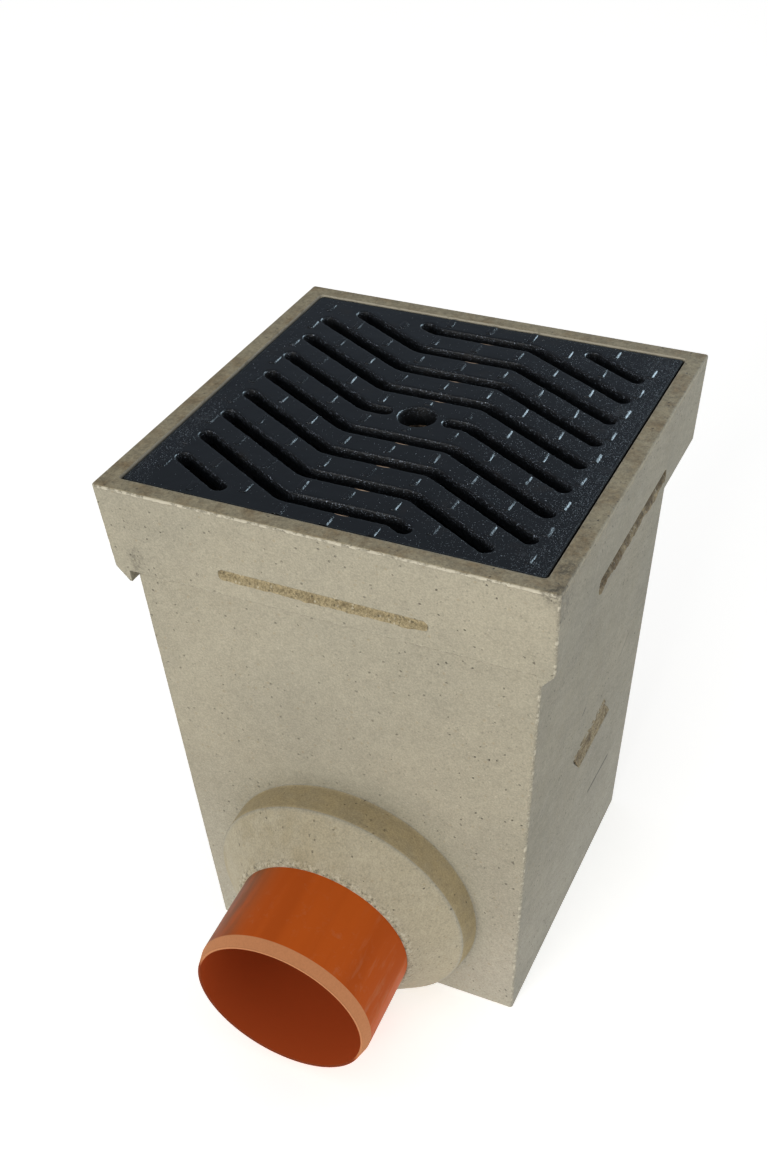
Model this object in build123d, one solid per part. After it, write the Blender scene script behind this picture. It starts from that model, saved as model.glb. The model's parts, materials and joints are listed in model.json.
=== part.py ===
from build123d import *
from math import atan, cos, degrees, hypot, radians, sin, tan
import os

# Rim and collar of the cast body, measured from the vertical axis through the rim's centre
rim_side = 300.0
height = 395.0
collar_depth = 65.0
collar_draft_side = 3.4
collar_draft_front = 7.1
cast_corner = 2.0
rim_round = 1.2

# Lips that hang lower along the collar's left and right sides
skirt_drop = 9.0
skirt_chamfer_height = 12.0
skirt_chamfer_width = 9.5
skirt_overlap = 0.8

# Shaft of the body: how far its head stands back from the rim, and its foot from its head
head_setback_side = 13.5
head_setback_front = 14.8
head_setback_back = 26.5
foot_setback_side = 20.0
foot_setback_front = 20.7
foot_setback_back = 7.5

# Walls, floor and ledges inside the body
wall_foot = 18.0
wall_lower = 22.0
wall_upper = 13.5
upper_draft = 2.0
floor_thickness = 16.0
core_corner = 14.0
pocket_corner = 3.0
seat_depth = 25.0
bucket_seat_depth = 60.0

# Half round grooves cast into the four collar faces
groove_length = 139.0
groove_height = 8.0
groove_bite = 3.0
groove_depth_below_rim = 48.5

# Shallow rough patch on the right side of the shaft
patch_drop = 225.0
patch_height = 22.0
patch_length = 68.0
patch_centre = 9.0
patch_slant = 20.0
patch_bite = 1.2

# Outlet stub and the cast boss around it
pipe_radius = 62.5
pipe_wall = 3.7
pipe_reach = 230.5
pipe_end_height = 72.2
pipe_slope = 0.11
outlet_shift = -3.0
bevel_length = 8.3
bevel_bite = 2.2
boss_ring = 29.7
boss_draft = 2.4
boss_foot_height = 79.0
boss_proud = 20.5
boss_edge = 1.6
cone_length = 25.0
cone_lip = 1.2
pipe_key_bite = 1.0

# Cast iron grate
grate_gap = 1.5
rim_wall = 12.0
grate_recess = 1.0
plate_thickness = 10.0
frame_width = 11.0
grate_corner = 2.5
slot_width = 10.0
slot_pitch = 29.0
slot_bend = 36.0
slot_side_margin = 21.5
slot_front_margin = 15.5
slot_angle = 30.0
slot_hole_gap = 22.8
lift_hole_radius = 12.6
stiffener_width = 11.0
stiffener_top = 4.6
collar_ring = 6.0

# Raised grip marks on the grate's bars
mark_pitch = 30.5
mark_width = 5.6
mark_length = 12.0
mark_height = 0.9
mark_margin = 5.5
mark_side_margin = 12.0

# Sediment bucket
bucket_play = 1.0
bucket_wall = 2.5
bucket_flange = 3.0
bucket_bell_gap = 6.5
bucket_draft = 7.0
bucket_inset = 3.0
bucket_corner = 12.0
bucket_lip = 5.0
drain_slot_width = 7.0
drain_slot_pitch = 22.0
drain_slots_each_way = 3
drain_slot_top_margin = 14.0
drain_slot_foot_margin = 20.0
floor_slot_length = 120.0

# Wire bail of the bucket
bail_wire = 5.0
bail_clearance = 12.0
bail_bend = 8.0
bail_play = 0.3
bail_eye_radius = 8.0
bail_eye_thickness = 3.0
bail_side_gap = 1.0
bail_end_proud = 2.2

# Foul air trap, a plug and elbow in the outlet with a bell over its mouth
plug_play = 3.3
plug_length = 38.0
plug_out = 9.0
trap_wall = 2.5
riser_radius = 37.5
riser_lead = 60.0
riser_rise = 88.0
seal_gap = 0.3
seal_width = 9.0
seal_back = 14.0
seal_groove = 1.5
seal_lip_root = 0.5
bell_inside = 55.0
bell_dip = 51.0
bell_headroom = 22.0
bell_edge = 8.0
bell_fins = 3
bell_fin_thickness = 2.0
bell_fin_reach = 24.0
bell_fin_play = 0.3
bell_fin_seat = 7.5
knob_radius = 10.0
knob_neck = 6.0
knob_height = 12.0

# Levels worked out from the sizes above
collar_foot = height - collar_depth
skirt_foot = collar_foot - skirt_drop
seat_level = height - seat_depth
bucket_seat = height - bucket_seat_depth
slope_angle = degrees(atan(pipe_slope))
clear_cut = 1.0

# Widths worked out from the sizes above
half_rim = rim_side / 2
head = (half_rim - head_setback_side, half_rim - head_setback_front, half_rim - head_setback_back)
foot = (head[0] - foot_setback_side, head[1] - foot_setback_front, head[2] - foot_setback_back)
pocket_half = half_rim - rim_wall
grate_half = pocket_half - grate_gap
slot_end = grate_half - slot_side_margin
slot_limit = grate_half - slot_front_margin
mark_limit = grate_half - mark_margin
mark_columns = int((grate_half - mark_side_margin) // mark_pitch)
boss_face_radius = pipe_radius + boss_ring
boss_foot_radius = boss_face_radius + boss_draft
plug_radius = pipe_radius - pipe_wall - plug_play


def between(low, high, share):
    """Value a share of the way from low to high."""
    return low + (high - low) * share


def shaft_at(level):
    """Half width, front and back distance of the shaft's outside at a level."""
    share = level / collar_foot
    return tuple(between(low, high, share) for low, high in zip(foot, head))


def shrunk(sizes, inset):
    """The same outline moved inwards on all four sides."""
    return tuple(size - inset for size in sizes)


def outline(sizes, level, corner):
    """Rounded rectangle at a level from its half width, front and back distance."""
    half, front, back = sizes
    place = Pos(0, (back - front) / 2, level)
    return place * RectangleRounded(2 * half, front + back, corner)


def tapered(low_sizes, low, high_sizes, high, corner):
    """Block with straight sloping sides between two levels."""
    sections = [outline(low_sizes, low, corner), outline(high_sizes, high, corner)]
    return loft(sections, ruled=True)


def collar_at(drop):
    """Half width, front and back distance of the collar at a drop below the rim."""
    share = drop / collar_depth
    side = half_rim - collar_draft_side * share
    front = half_rim - collar_draft_front * share
    return side, front, front


# The pipe's axis points out of its end and down, and plane z runs inwards along it
pipe_end = Vector(outlet_shift, -pipe_reach, pipe_end_height)
pipe_inward = Vector(0, cos(radians(slope_angle)), sin(radians(slope_angle)))
pipe_plane = Plane(origin=pipe_end, x_dir=(1, 0, 0), z_dir=pipe_inward)


def on_pipe(distance):
    """Plane square to the pipe at a distance inwards from its end."""
    return Plane(origin=pipe_end + pipe_inward * distance, x_dir=(1, 0, 0), z_dir=pipe_inward)


def pipe_distance(y):
    """Distance along the pipe's axis from its end to the place where it has this y."""
    return (y + pipe_reach) / pipe_inward.Y


# Inside outlines of the body, from the walls and the shaft's outside
lower_foot = shrunk(shaft_at(floor_thickness), wall_foot)
lower_head = shrunk(shaft_at(bucket_seat), wall_lower)
upper_foot = shrunk(shaft_at(bucket_seat), wall_upper)
upper_head = shrunk(upper_foot, -upper_draft)


def lower_at(level):
    """Half width, front and back distance of the lower chamber at a level."""
    share = (level - floor_thickness) / (bucket_seat - floor_thickness)
    return tuple(between(low, high, share) for low, high in zip(lower_foot, lower_head))


# Places along the pipe's axis, from its open end: the cone's root, the boss's face and the inner wall
boss_face_distance = pipe_distance(-shaft_at(boss_foot_height)[1] - boss_proud)
root_distance = boss_face_distance - cone_length
outlet_wall_distance = pipe_distance(-lower_at(pipe_end_height)[1])
pipe_cast_radius = pipe_radius - pipe_key_bite


def chambers():
    """Room inside the body: lower chamber, upper chamber and the grate's pocket."""
    lower = tapered(lower_foot, floor_thickness, lower_head, bucket_seat, core_corner)
    upper = tapered(upper_foot, bucket_seat, upper_head, seat_level, core_corner)
    pocket_sizes = (pocket_half, pocket_half, pocket_half)
    pocket = tapered(pocket_sizes, seat_level, pocket_sizes, height + clear_cut, pocket_corner)
    return lower + upper + pocket


def collar():
    """Collar with leaning faces and the two chamfered lips along its sides."""
    block = tapered(collar_at(height - skirt_foot), skirt_foot, collar_at(0), height, cast_corner)
    block = fillet(block.edges().group_by(Axis.Z)[-1], rim_round)
    inner = shaft_at(collar_foot)[0] - skirt_overlap
    under = Pos(0, 0, skirt_foot) * Box(
        2 * inner, 2 * rim_side, 2 * skirt_drop, align=(Align.CENTER, Align.CENTER, Align.CENTER)
    )
    block -= under
    edge_level = skirt_foot + skirt_chamfer_height
    edge_half = collar_at(height - edge_level)[0]
    tip_half = edge_half - skirt_chamfer_width
    for side in (-1, 1):
        wedge = make_face(
            Plane.XZ
            * Polyline(
                (side * edge_half, edge_level),
                (side * tip_half, skirt_foot),
                (side * tip_half, skirt_foot - clear_cut),
                (side * rim_side, skirt_foot - clear_cut),
                (side * rim_side, edge_level),
                close=True,
            )
        )
        block -= extrude(wedge, rim_side, both=True)
    return block


def boss():
    """Round boss on the front wall, a drafted ring that ends in a cone on the pipe."""
    ring_y = shaft_at(boss_foot_height)[1]
    foot = Plane(origin=(outlet_shift, -ring_y + wall_foot / 2, boss_foot_height), z_dir=(0, -1, 0))
    edge = on_pipe(boss_face_distance + boss_edge)
    face = on_pipe(boss_face_distance)
    root = on_pipe(root_distance)
    ring = loft([foot * Circle(boss_foot_radius), edge * Circle(boss_face_radius)], ruled=True)
    rounded = boss_face_radius - boss_edge
    bevel = loft([edge * Circle(boss_face_radius), face * Circle(rounded)], ruled=True)
    cone = loft([face * Circle(rounded), root * Circle(pipe_radius + cone_lip)], ruled=True)
    below = Pos(0, 0, -rim_side / 2) * Box(rim_side, 3 * rim_side, rim_side)
    return ring + bevel + cone - below


def groove_cuts():
    """Half round bars with rounded ends that cut the four collar grooves."""
    radius = (groove_height**2 / 4 + groove_bite**2) / (2 * groove_bite)
    side, front, _ = collar_at(groove_depth_below_rim)
    level = height - groove_depth_below_rim
    bar = Rot(0, 90, 0) * Cylinder(radius, groove_length)
    bar &= extrude(Plane.XZ * SlotOverall(groove_length, groove_height), radius, both=True)
    cuts = []
    for turn, face in ((0, front), (90, side), (180, front), (270, side)):
        cuts.append(Rot(0, 0, turn) * Pos(0, -face - radius + groove_bite, level) * bar)
    return cuts


def patch_cut():
    """Slanted shallow block that sinks the rough patch into the right wall."""
    level = height - patch_drop - patch_height / 2
    face = shaft_at(level)[0]
    lean = atan(foot_setback_side / collar_foot)
    plane = Plane(origin=(face, patch_centre, level), x_dir=(0, 1, 0), z_dir=(cos(lean), 0, -sin(lean)))
    half = patch_length / 2
    rise = patch_height / 2
    slant = patch_slant / 2
    corners = [(-half - slant, rise), (half - slant, rise), (half + slant, -rise), (-half + slant, -rise)]
    shape = make_face(Polyline(*corners, close=True))
    return extrude(plane * shape, patch_bite, both=True)


def gully_body():
    """The whole casting: shaft, collar, boss, chambers, grooves and the outlet's hole."""
    shaft = tapered(
        shaft_at(0), 0, shaft_at(collar_foot + clear_cut), collar_foot + clear_cut, cast_corner
    )
    body = shaft + collar() + boss() - chambers()
    reach = outlet_wall_distance + wall_foot
    body -= extrude(pipe_plane * Circle(pipe_cast_radius), reach)
    for cut in groove_cuts():
        body -= cut
    return body - patch_cut()


def outlet_pipe():
    """Pipe stub with a bevelled end, its cast in length ground thinner, flush with the wall inside."""
    bore = pipe_radius - pipe_wall
    length = outlet_wall_distance + wall_foot
    tip = pipe_radius - bevel_bite
    profile = Polyline(
        (bore, 0),
        (tip, 0),
        (pipe_radius, bevel_length),
        (pipe_radius, root_distance),
        (pipe_cast_radius, root_distance),
        (pipe_cast_radius, length),
        (bore, length),
        close=True,
    )
    stub = revolve(make_face(Plane.XZ * profile), Axis.Z)
    return pipe_plane * stub - chambers()


def slot_line(row):
    """Points of one bent slot's middle line, cut off at the grate's front and back margins."""
    rise = (slot_end - slot_bend) * tan(radians(slot_angle))
    middle = row * slot_pitch
    points = [
        (-slot_end, middle + rise),
        (-slot_bend, middle),
        (slot_bend, middle),
        (slot_end, middle - rise),
    ]
    kept = []
    for start, end in zip(points, points[1:]):
        low, high = max(start[1], end[1]), min(start[1], end[1])
        if high > slot_limit or low < -slot_limit:
            continue
        leg = []
        for point, other in ((start, end), (end, start)):
            x, y = point
            limit = max(-slot_limit, min(slot_limit, y))
            if limit != y:
                x = x + (other[0] - x) * (limit - y) / (other[1] - y)
            leg.append((x, limit))
        kept.append(leg)
    return kept


def slot_leg(start, end):
    """One straight stretch of a slot with round ends."""
    run = hypot(end[0] - start[0], end[1] - start[1])
    turn = degrees(atan((end[1] - start[1]) / (end[0] - start[0])))
    middle = Pos((start[0] + end[0]) / 2, (start[1] + end[1]) / 2)
    return middle * Rot(0, 0, turn) * SlotCenterToCenter(run, slot_width)


def slot_sketch():
    """All the grate's slots, with the middle one stopped short of the lifting hole."""
    rows = round((slot_limit + (slot_end - slot_bend) * tan(radians(slot_angle))) // slot_pitch)
    shape = Sketch()
    for row in range(-rows, rows + 1):
        for start, end in slot_line(row):
            if row == 0 and start[1] == end[1]:
                shape += slot_leg(start, (-slot_hole_gap, 0))
                shape += slot_leg((slot_hole_gap, 0), end)
            else:
                shape += slot_leg(start, end)
    return shape


def bar_offset(x):
    """How far the slots have moved to the front at this x."""
    beyond = max(0.0, abs(x) - slot_bend)
    return beyond * tan(radians(slot_angle)) * (1 if x > 0 else -1)


def grip_marks(level):
    """Low raised marks in columns, one on each bar."""
    rows = round(2 * mark_limit // slot_pitch)
    sketch = Sketch()
    for column in range(-mark_columns, mark_columns + 1):
        x = column * mark_pitch
        for row in range(-rows, rows + 1):
            y = (row + 0.5) * slot_pitch - bar_offset(x)
            if abs(y) <= mark_limit:
                sketch += Pos(x, y, level) * Rectangle(mark_width, mark_length)
    return extrude(sketch, mark_height, taper=45)


def grate():
    """Flat cast plate with bent slots, a lifting hole, a deep edge frame and a stiffener."""
    top = height - grate_recess
    deep = top - seat_level
    plate = extrude(Pos(0, 0, top) * RectangleRounded(2 * grate_half, 2 * grate_half, grate_corner), -deep)
    hollow = 2 * (grate_half - frame_width)
    under = Pos(0, 0, seat_level) * RectangleRounded(hollow, hollow, grate_corner)
    plate -= extrude(under, deep - plate_thickness)
    plate += grip_marks(top)
    plate -= extrude(Pos(0, 0, top + mark_height) * slot_sketch(), -plate_thickness - 2 * mark_height)
    rib_deep = deep - stiffener_top
    rib = Pos(0, 0, seat_level + rib_deep / 2) * Box(stiffener_width, 2 * grate_half - frame_width, rib_deep)
    ring = extrude(Pos(0, 0, seat_level) * Circle(lift_hole_radius + collar_ring), deep - plate_thickness)
    plate += rib + ring
    hole = Pos(0, 0, seat_level) * Cylinder(lift_hole_radius, 3 * deep)
    return plate - hole


# Corner of the trap's elbow, and the levels of its mouth and of the bell over it
plug_end = outlet_wall_distance + plug_out
elbow_corner = on_pipe(plug_end + riser_lead).origin
mouth_y = elbow_corner.Y
riser_mouth = elbow_corner.Z + riser_rise
bell_ceiling = riser_mouth + bell_headroom
bell_roof = bell_ceiling + trap_wall

# Bucket outlines from the chamber that it hangs in
bucket_top_level = bucket_seat + bucket_flange
bucket_floor_level = bell_roof + knob_height + bucket_bell_gap
bucket_depth = bucket_top_level - bucket_floor_level
bucket_head = shrunk(lower_at(bucket_seat), bucket_inset)
bucket_foot = shrunk(bucket_head, bucket_draft)
bucket_middle = (bucket_head[2] - bucket_head[1]) / 2

# The bail's eyes stand midway between the bucket's floor and the grate, so that it can swing right over
swing_low = bucket_floor_level + bucket_wall
bail_level = (swing_low + seat_level) / 2
bail_drop = (seat_level - swing_low) / 2 - bail_wire / 2 - bail_clearance


def bucket_at(level):
    """Half width, front and back distance of the bucket's outside at a level."""
    share = (level - bucket_floor_level) / bucket_depth
    return tuple(between(low, high, share) for low, high in zip(bucket_foot, bucket_head))


def drain_slots():
    """Upright slots through the bucket's walls and long ones through its floor."""
    slot_high = bucket_depth - drain_slot_top_margin - drain_slot_foot_margin
    level = bucket_top_level - drain_slot_top_margin - slot_high / 2
    reach = 2 * (bucket_head[0] + bucket_head[1])
    cuts = []
    for count in range(-drain_slots_each_way, drain_slots_each_way + 1):
        place = count * drain_slot_pitch
        through_y = Pos(place, bucket_middle, level) * Box(drain_slot_width, reach, slot_high)
        cuts.append(through_y)
        floor_cut = Box(drain_slot_width, floor_slot_length, 4 * bucket_wall)
        cuts.append(Pos(place, bucket_middle, bucket_floor_level) * floor_cut)
        if count != 0:
            through_x = Box(reach, drain_slot_width, slot_high)
            cuts.append(Pos(0, bucket_middle + place, level) * through_x)
    return cuts


def sediment_bucket():
    """Moulded bucket that hangs by its flange on the ledge, with slots and two bail eyes."""
    outer = tapered(bucket_foot, bucket_floor_level, bucket_head, bucket_top_level, bucket_corner)
    flange_sizes = shrunk(upper_foot, bucket_play)
    top_sizes = tapered(flange_sizes, bucket_seat, flange_sizes, bucket_top_level, bucket_corner)
    lip = tapered(flange_sizes, bucket_top_level, flange_sizes, bucket_top_level + bucket_lip, bucket_corner)
    lip -= tapered(
        shrunk(flange_sizes, bucket_wall),
        bucket_top_level,
        shrunk(flange_sizes, bucket_wall),
        bucket_top_level + bucket_lip,
        bucket_corner - bucket_wall,
    )
    inner_foot = shrunk(bucket_at(bucket_floor_level + bucket_wall), bucket_wall)
    inner_head = shrunk(bucket_at(bucket_top_level + clear_cut), bucket_wall)
    inner = tapered(
        inner_foot,
        bucket_floor_level + bucket_wall,
        inner_head,
        bucket_top_level + clear_cut,
        bucket_corner - bucket_wall,
    )
    bucket = outer + top_sizes + lip - inner
    wall_x = bucket_at(bail_level)[0]
    for side in (-1, 1):
        eye = Pos(side * (wall_x - bail_eye_thickness / 2 - bucket_wall / 2), bucket_middle, bail_level)
        bucket += eye * Rot(0, 90, 0) * Cylinder(bail_eye_radius, bail_eye_thickness + bucket_wall)
    for cut in drain_slots():
        bucket -= cut
    pin_hole = Rot(0, 90, 0) * Cylinder(bail_wire / 2 + bail_play, 2 * rim_side)
    return bucket - Pos(0, bucket_middle, bail_level) * pin_hole


def rod(start, end, radius):
    """Straight round rod between two points."""
    run = end - start
    return extrude(Plane(origin=start, z_dir=run) * Circle(radius), run.length)


def quarter_bend(before, corner, after, bend, radius):
    """Quarter turn of a round rod, rounding the corner between two of its runs."""
    come = (corner - before).normalized()
    leave = (after - corner).normalized()
    turn_in = corner - come * bend
    section = Plane(origin=turn_in, z_dir=come) * Circle(radius)
    return revolve(section, Axis(turn_in + leave * bend, come.cross(leave)), 90)


def bucket_bail():
    """Wire bail that hangs in the bucket from the two eyes, its ends turned outwards."""
    wall_x = bucket_at(bail_level)[0]
    end_x = wall_x + bail_end_proud
    arm_x = wall_x - bucket_wall - bail_eye_thickness - bail_side_gap - bail_wire / 2
    low = bail_level - bail_drop
    radius = bail_wire / 2
    bail = rod(Vector(bail_bend - arm_x, bucket_middle, low), Vector(arm_x - bail_bend, bucket_middle, low), radius)
    for side in (-1, 1):
        eye = Vector(side * end_x, bucket_middle, bail_level)
        top = Vector(side * arm_x, bucket_middle, bail_level)
        foot = Vector(side * arm_x, bucket_middle, low)
        middle = Vector(0, bucket_middle, low)
        mitre = Plane(origin=top, z_dir=Vector(side, 0, 1))
        hook = rod(top - Vector(side * bail_wire, 0, 0), eye, radius)
        arm = rod(foot + Vector(0, 0, bail_bend), top + Vector(0, 0, bail_wire), radius)
        bail += split(hook, bisect_by=mitre, keep=Keep.TOP) + split(arm, bisect_by=mitre, keep=Keep.BOTTOM)
        bail += quarter_bend(top, foot, middle, bail_bend, radius)
    return bail


def elbow_tube(radius):
    """Round bar along the elbow: on from the plug to the mitred corner, then straight up to the mouth."""
    upwards = Vector(0, 0, 1)
    mitre = Plane(origin=elbow_corner, z_dir=pipe_inward + upwards)
    lead = extrude(on_pipe(plug_end - trap_wall) * Circle(radius), trap_wall + riser_lead + radius)
    low = elbow_corner - upwards * radius
    rise = rod(low, elbow_corner + upwards * riser_rise, radius)
    return split(lead, bisect_by=mitre, keep=Keep.BOTTOM) + split(rise, bisect_by=mitre, keep=Keep.TOP)


def plug_profile(outside, inside, start, end, disc):
    """Cup in section: a wall with a disc across its chamber end."""
    return Polyline(
        (0, end - disc),
        (inside, end - disc),
        (inside, start),
        (outside, start),
        (outside, end),
        (0, end),
        close=True,
    )


def trap_elbow():
    """Plug that fills the outlet and carries a smaller elbow turned upwards."""
    start = outlet_wall_distance - plug_length
    profile = plug_profile(plug_radius, plug_radius - trap_wall, start, plug_end, trap_wall)
    cup = revolve(make_face(Plane.XZ * profile), Axis.Z)
    groove_middle = start + seal_back
    groove = Pos(0, 0, groove_middle) * (
        Cylinder(plug_radius + clear_cut, seal_width) - Cylinder(plug_radius - seal_groove, seal_width)
    )
    plug = pipe_plane * (cup - groove)
    return plug + elbow_tube(riser_radius) - elbow_tube(riser_radius - trap_wall)


def trap_seal():
    """Rubber ring in the plug's groove, with two lips towards the pipe."""
    start = outlet_wall_distance - plug_length + seal_back - seal_width / 2
    inner = plug_radius - seal_groove
    outer = pipe_radius - pipe_wall - seal_gap
    foot = plug_radius + seal_lip_root
    step = seal_width / 4
    profile = Polyline(
        (inner, start),
        (outer, start),
        (foot, start + 2 * step),
        (outer, start + 2 * step),
        (foot, start + 4 * step),
        (inner, start + 4 * step),
        close=True,
    )
    return pipe_plane * revolve(make_face(Plane.XZ * profile), Axis.Z)


def trap_bell():
    """Bell over the riser's mouth, resting on its rim by inner fins, with a lifting knob."""
    outer = bell_inside + trap_wall
    skirt = riser_mouth - bell_dip
    profile = Polyline(
        (0, bell_ceiling),
        (bell_inside - bell_edge, bell_ceiling),
        (bell_inside, bell_ceiling - bell_edge),
        (bell_inside, skirt),
        (outer, skirt),
        (outer, bell_roof - bell_edge),
        (outer - bell_edge, bell_roof),
        (knob_neck, bell_roof),
        (knob_neck, bell_roof + knob_height / 2),
        (knob_radius, bell_roof + knob_height / 2),
        (knob_radius, bell_roof + knob_height),
        (0, bell_roof + knob_height),
        close=True,
    )
    bell = revolve(make_face(Plane.XZ * profile), Axis.Z)
    inner = riser_radius + bell_fin_play
    fin_shape = make_face(
        Plane.XZ
        * Polyline(
            (riser_radius - bell_fin_seat, riser_mouth),
            (inner, riser_mouth),
            (inner, riser_mouth - bell_fin_reach),
            (bell_inside + trap_wall / 2, riser_mouth - bell_fin_reach),
            (bell_inside + trap_wall / 2, bell_ceiling - bell_edge),
            (bell_inside - bell_edge, bell_ceiling + trap_wall / 2),
            (riser_radius - bell_fin_seat, bell_ceiling + trap_wall / 2),
            close=True,
        )
    )
    fin = extrude(fin_shape, bell_fin_thickness / 2, both=True)
    for count in range(bell_fins):
        bell += Rot(0, 0, 90 + count * 360 / bell_fins) * fin
    return Pos(outlet_shift, mouth_y, 0) * bell


def main():
    """Build every piece and write it to its own file."""
    os.makedirs("parts", exist_ok=True)
    pieces = {
        "gully_body": gully_body,
        "outlet_pipe": outlet_pipe,
        "grate": grate,
        "sediment_bucket": sediment_bucket,
        "bucket_bail": bucket_bail,
        "trap_elbow": trap_elbow,
        "trap_seal": trap_seal,
        "trap_bell": trap_bell,
    }
    for name, make in pieces.items():
        piece = make()
        export_step(piece, f"parts/{name}.step")
        print(name, len(piece.solids()), "solid", round(piece.volume / 1000, 1), "cm3")


main()
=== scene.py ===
import itertools
import json
import logging
import math
from dataclasses import dataclass, field
from enum import Enum

import bpy
import numpy as np
from mathutils import Matrix, Vector


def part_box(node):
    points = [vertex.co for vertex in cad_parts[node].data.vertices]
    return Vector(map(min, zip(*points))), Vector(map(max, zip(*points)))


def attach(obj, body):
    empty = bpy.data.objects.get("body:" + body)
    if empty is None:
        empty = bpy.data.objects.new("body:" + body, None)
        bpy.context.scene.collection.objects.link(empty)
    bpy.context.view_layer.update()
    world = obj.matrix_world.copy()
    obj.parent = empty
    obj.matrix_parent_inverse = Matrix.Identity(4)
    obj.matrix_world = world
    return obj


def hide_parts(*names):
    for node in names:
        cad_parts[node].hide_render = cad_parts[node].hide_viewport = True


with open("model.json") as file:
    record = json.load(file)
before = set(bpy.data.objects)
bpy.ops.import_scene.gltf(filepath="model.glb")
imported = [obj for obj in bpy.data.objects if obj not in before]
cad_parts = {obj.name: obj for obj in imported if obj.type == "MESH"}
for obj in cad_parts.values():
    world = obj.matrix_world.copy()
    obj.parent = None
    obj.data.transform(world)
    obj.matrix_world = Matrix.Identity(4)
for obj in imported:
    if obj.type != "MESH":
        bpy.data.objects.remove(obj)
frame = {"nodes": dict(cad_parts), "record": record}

log = logging.getLogger("gully")
MM = 0.001
Colour = tuple[float, float, float]
Points = np.ndarray
Socket = bpy.types.NodeSocket


class Body(Enum):
    """The two bodies of the gully that move apart."""

    GULLY = "gully"
    BAIL = "bail"


class Slot(Enum):
    """Finishes that the record names."""

    CONCRETE = "polymer_concrete"
    PIPE = "orange_pvc"
    IRON = "black_iron"
    PLASTIC = "grey_plastic"
    WIRE = "zinc_wire"
    RUBBER = "black_rubber"


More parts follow.
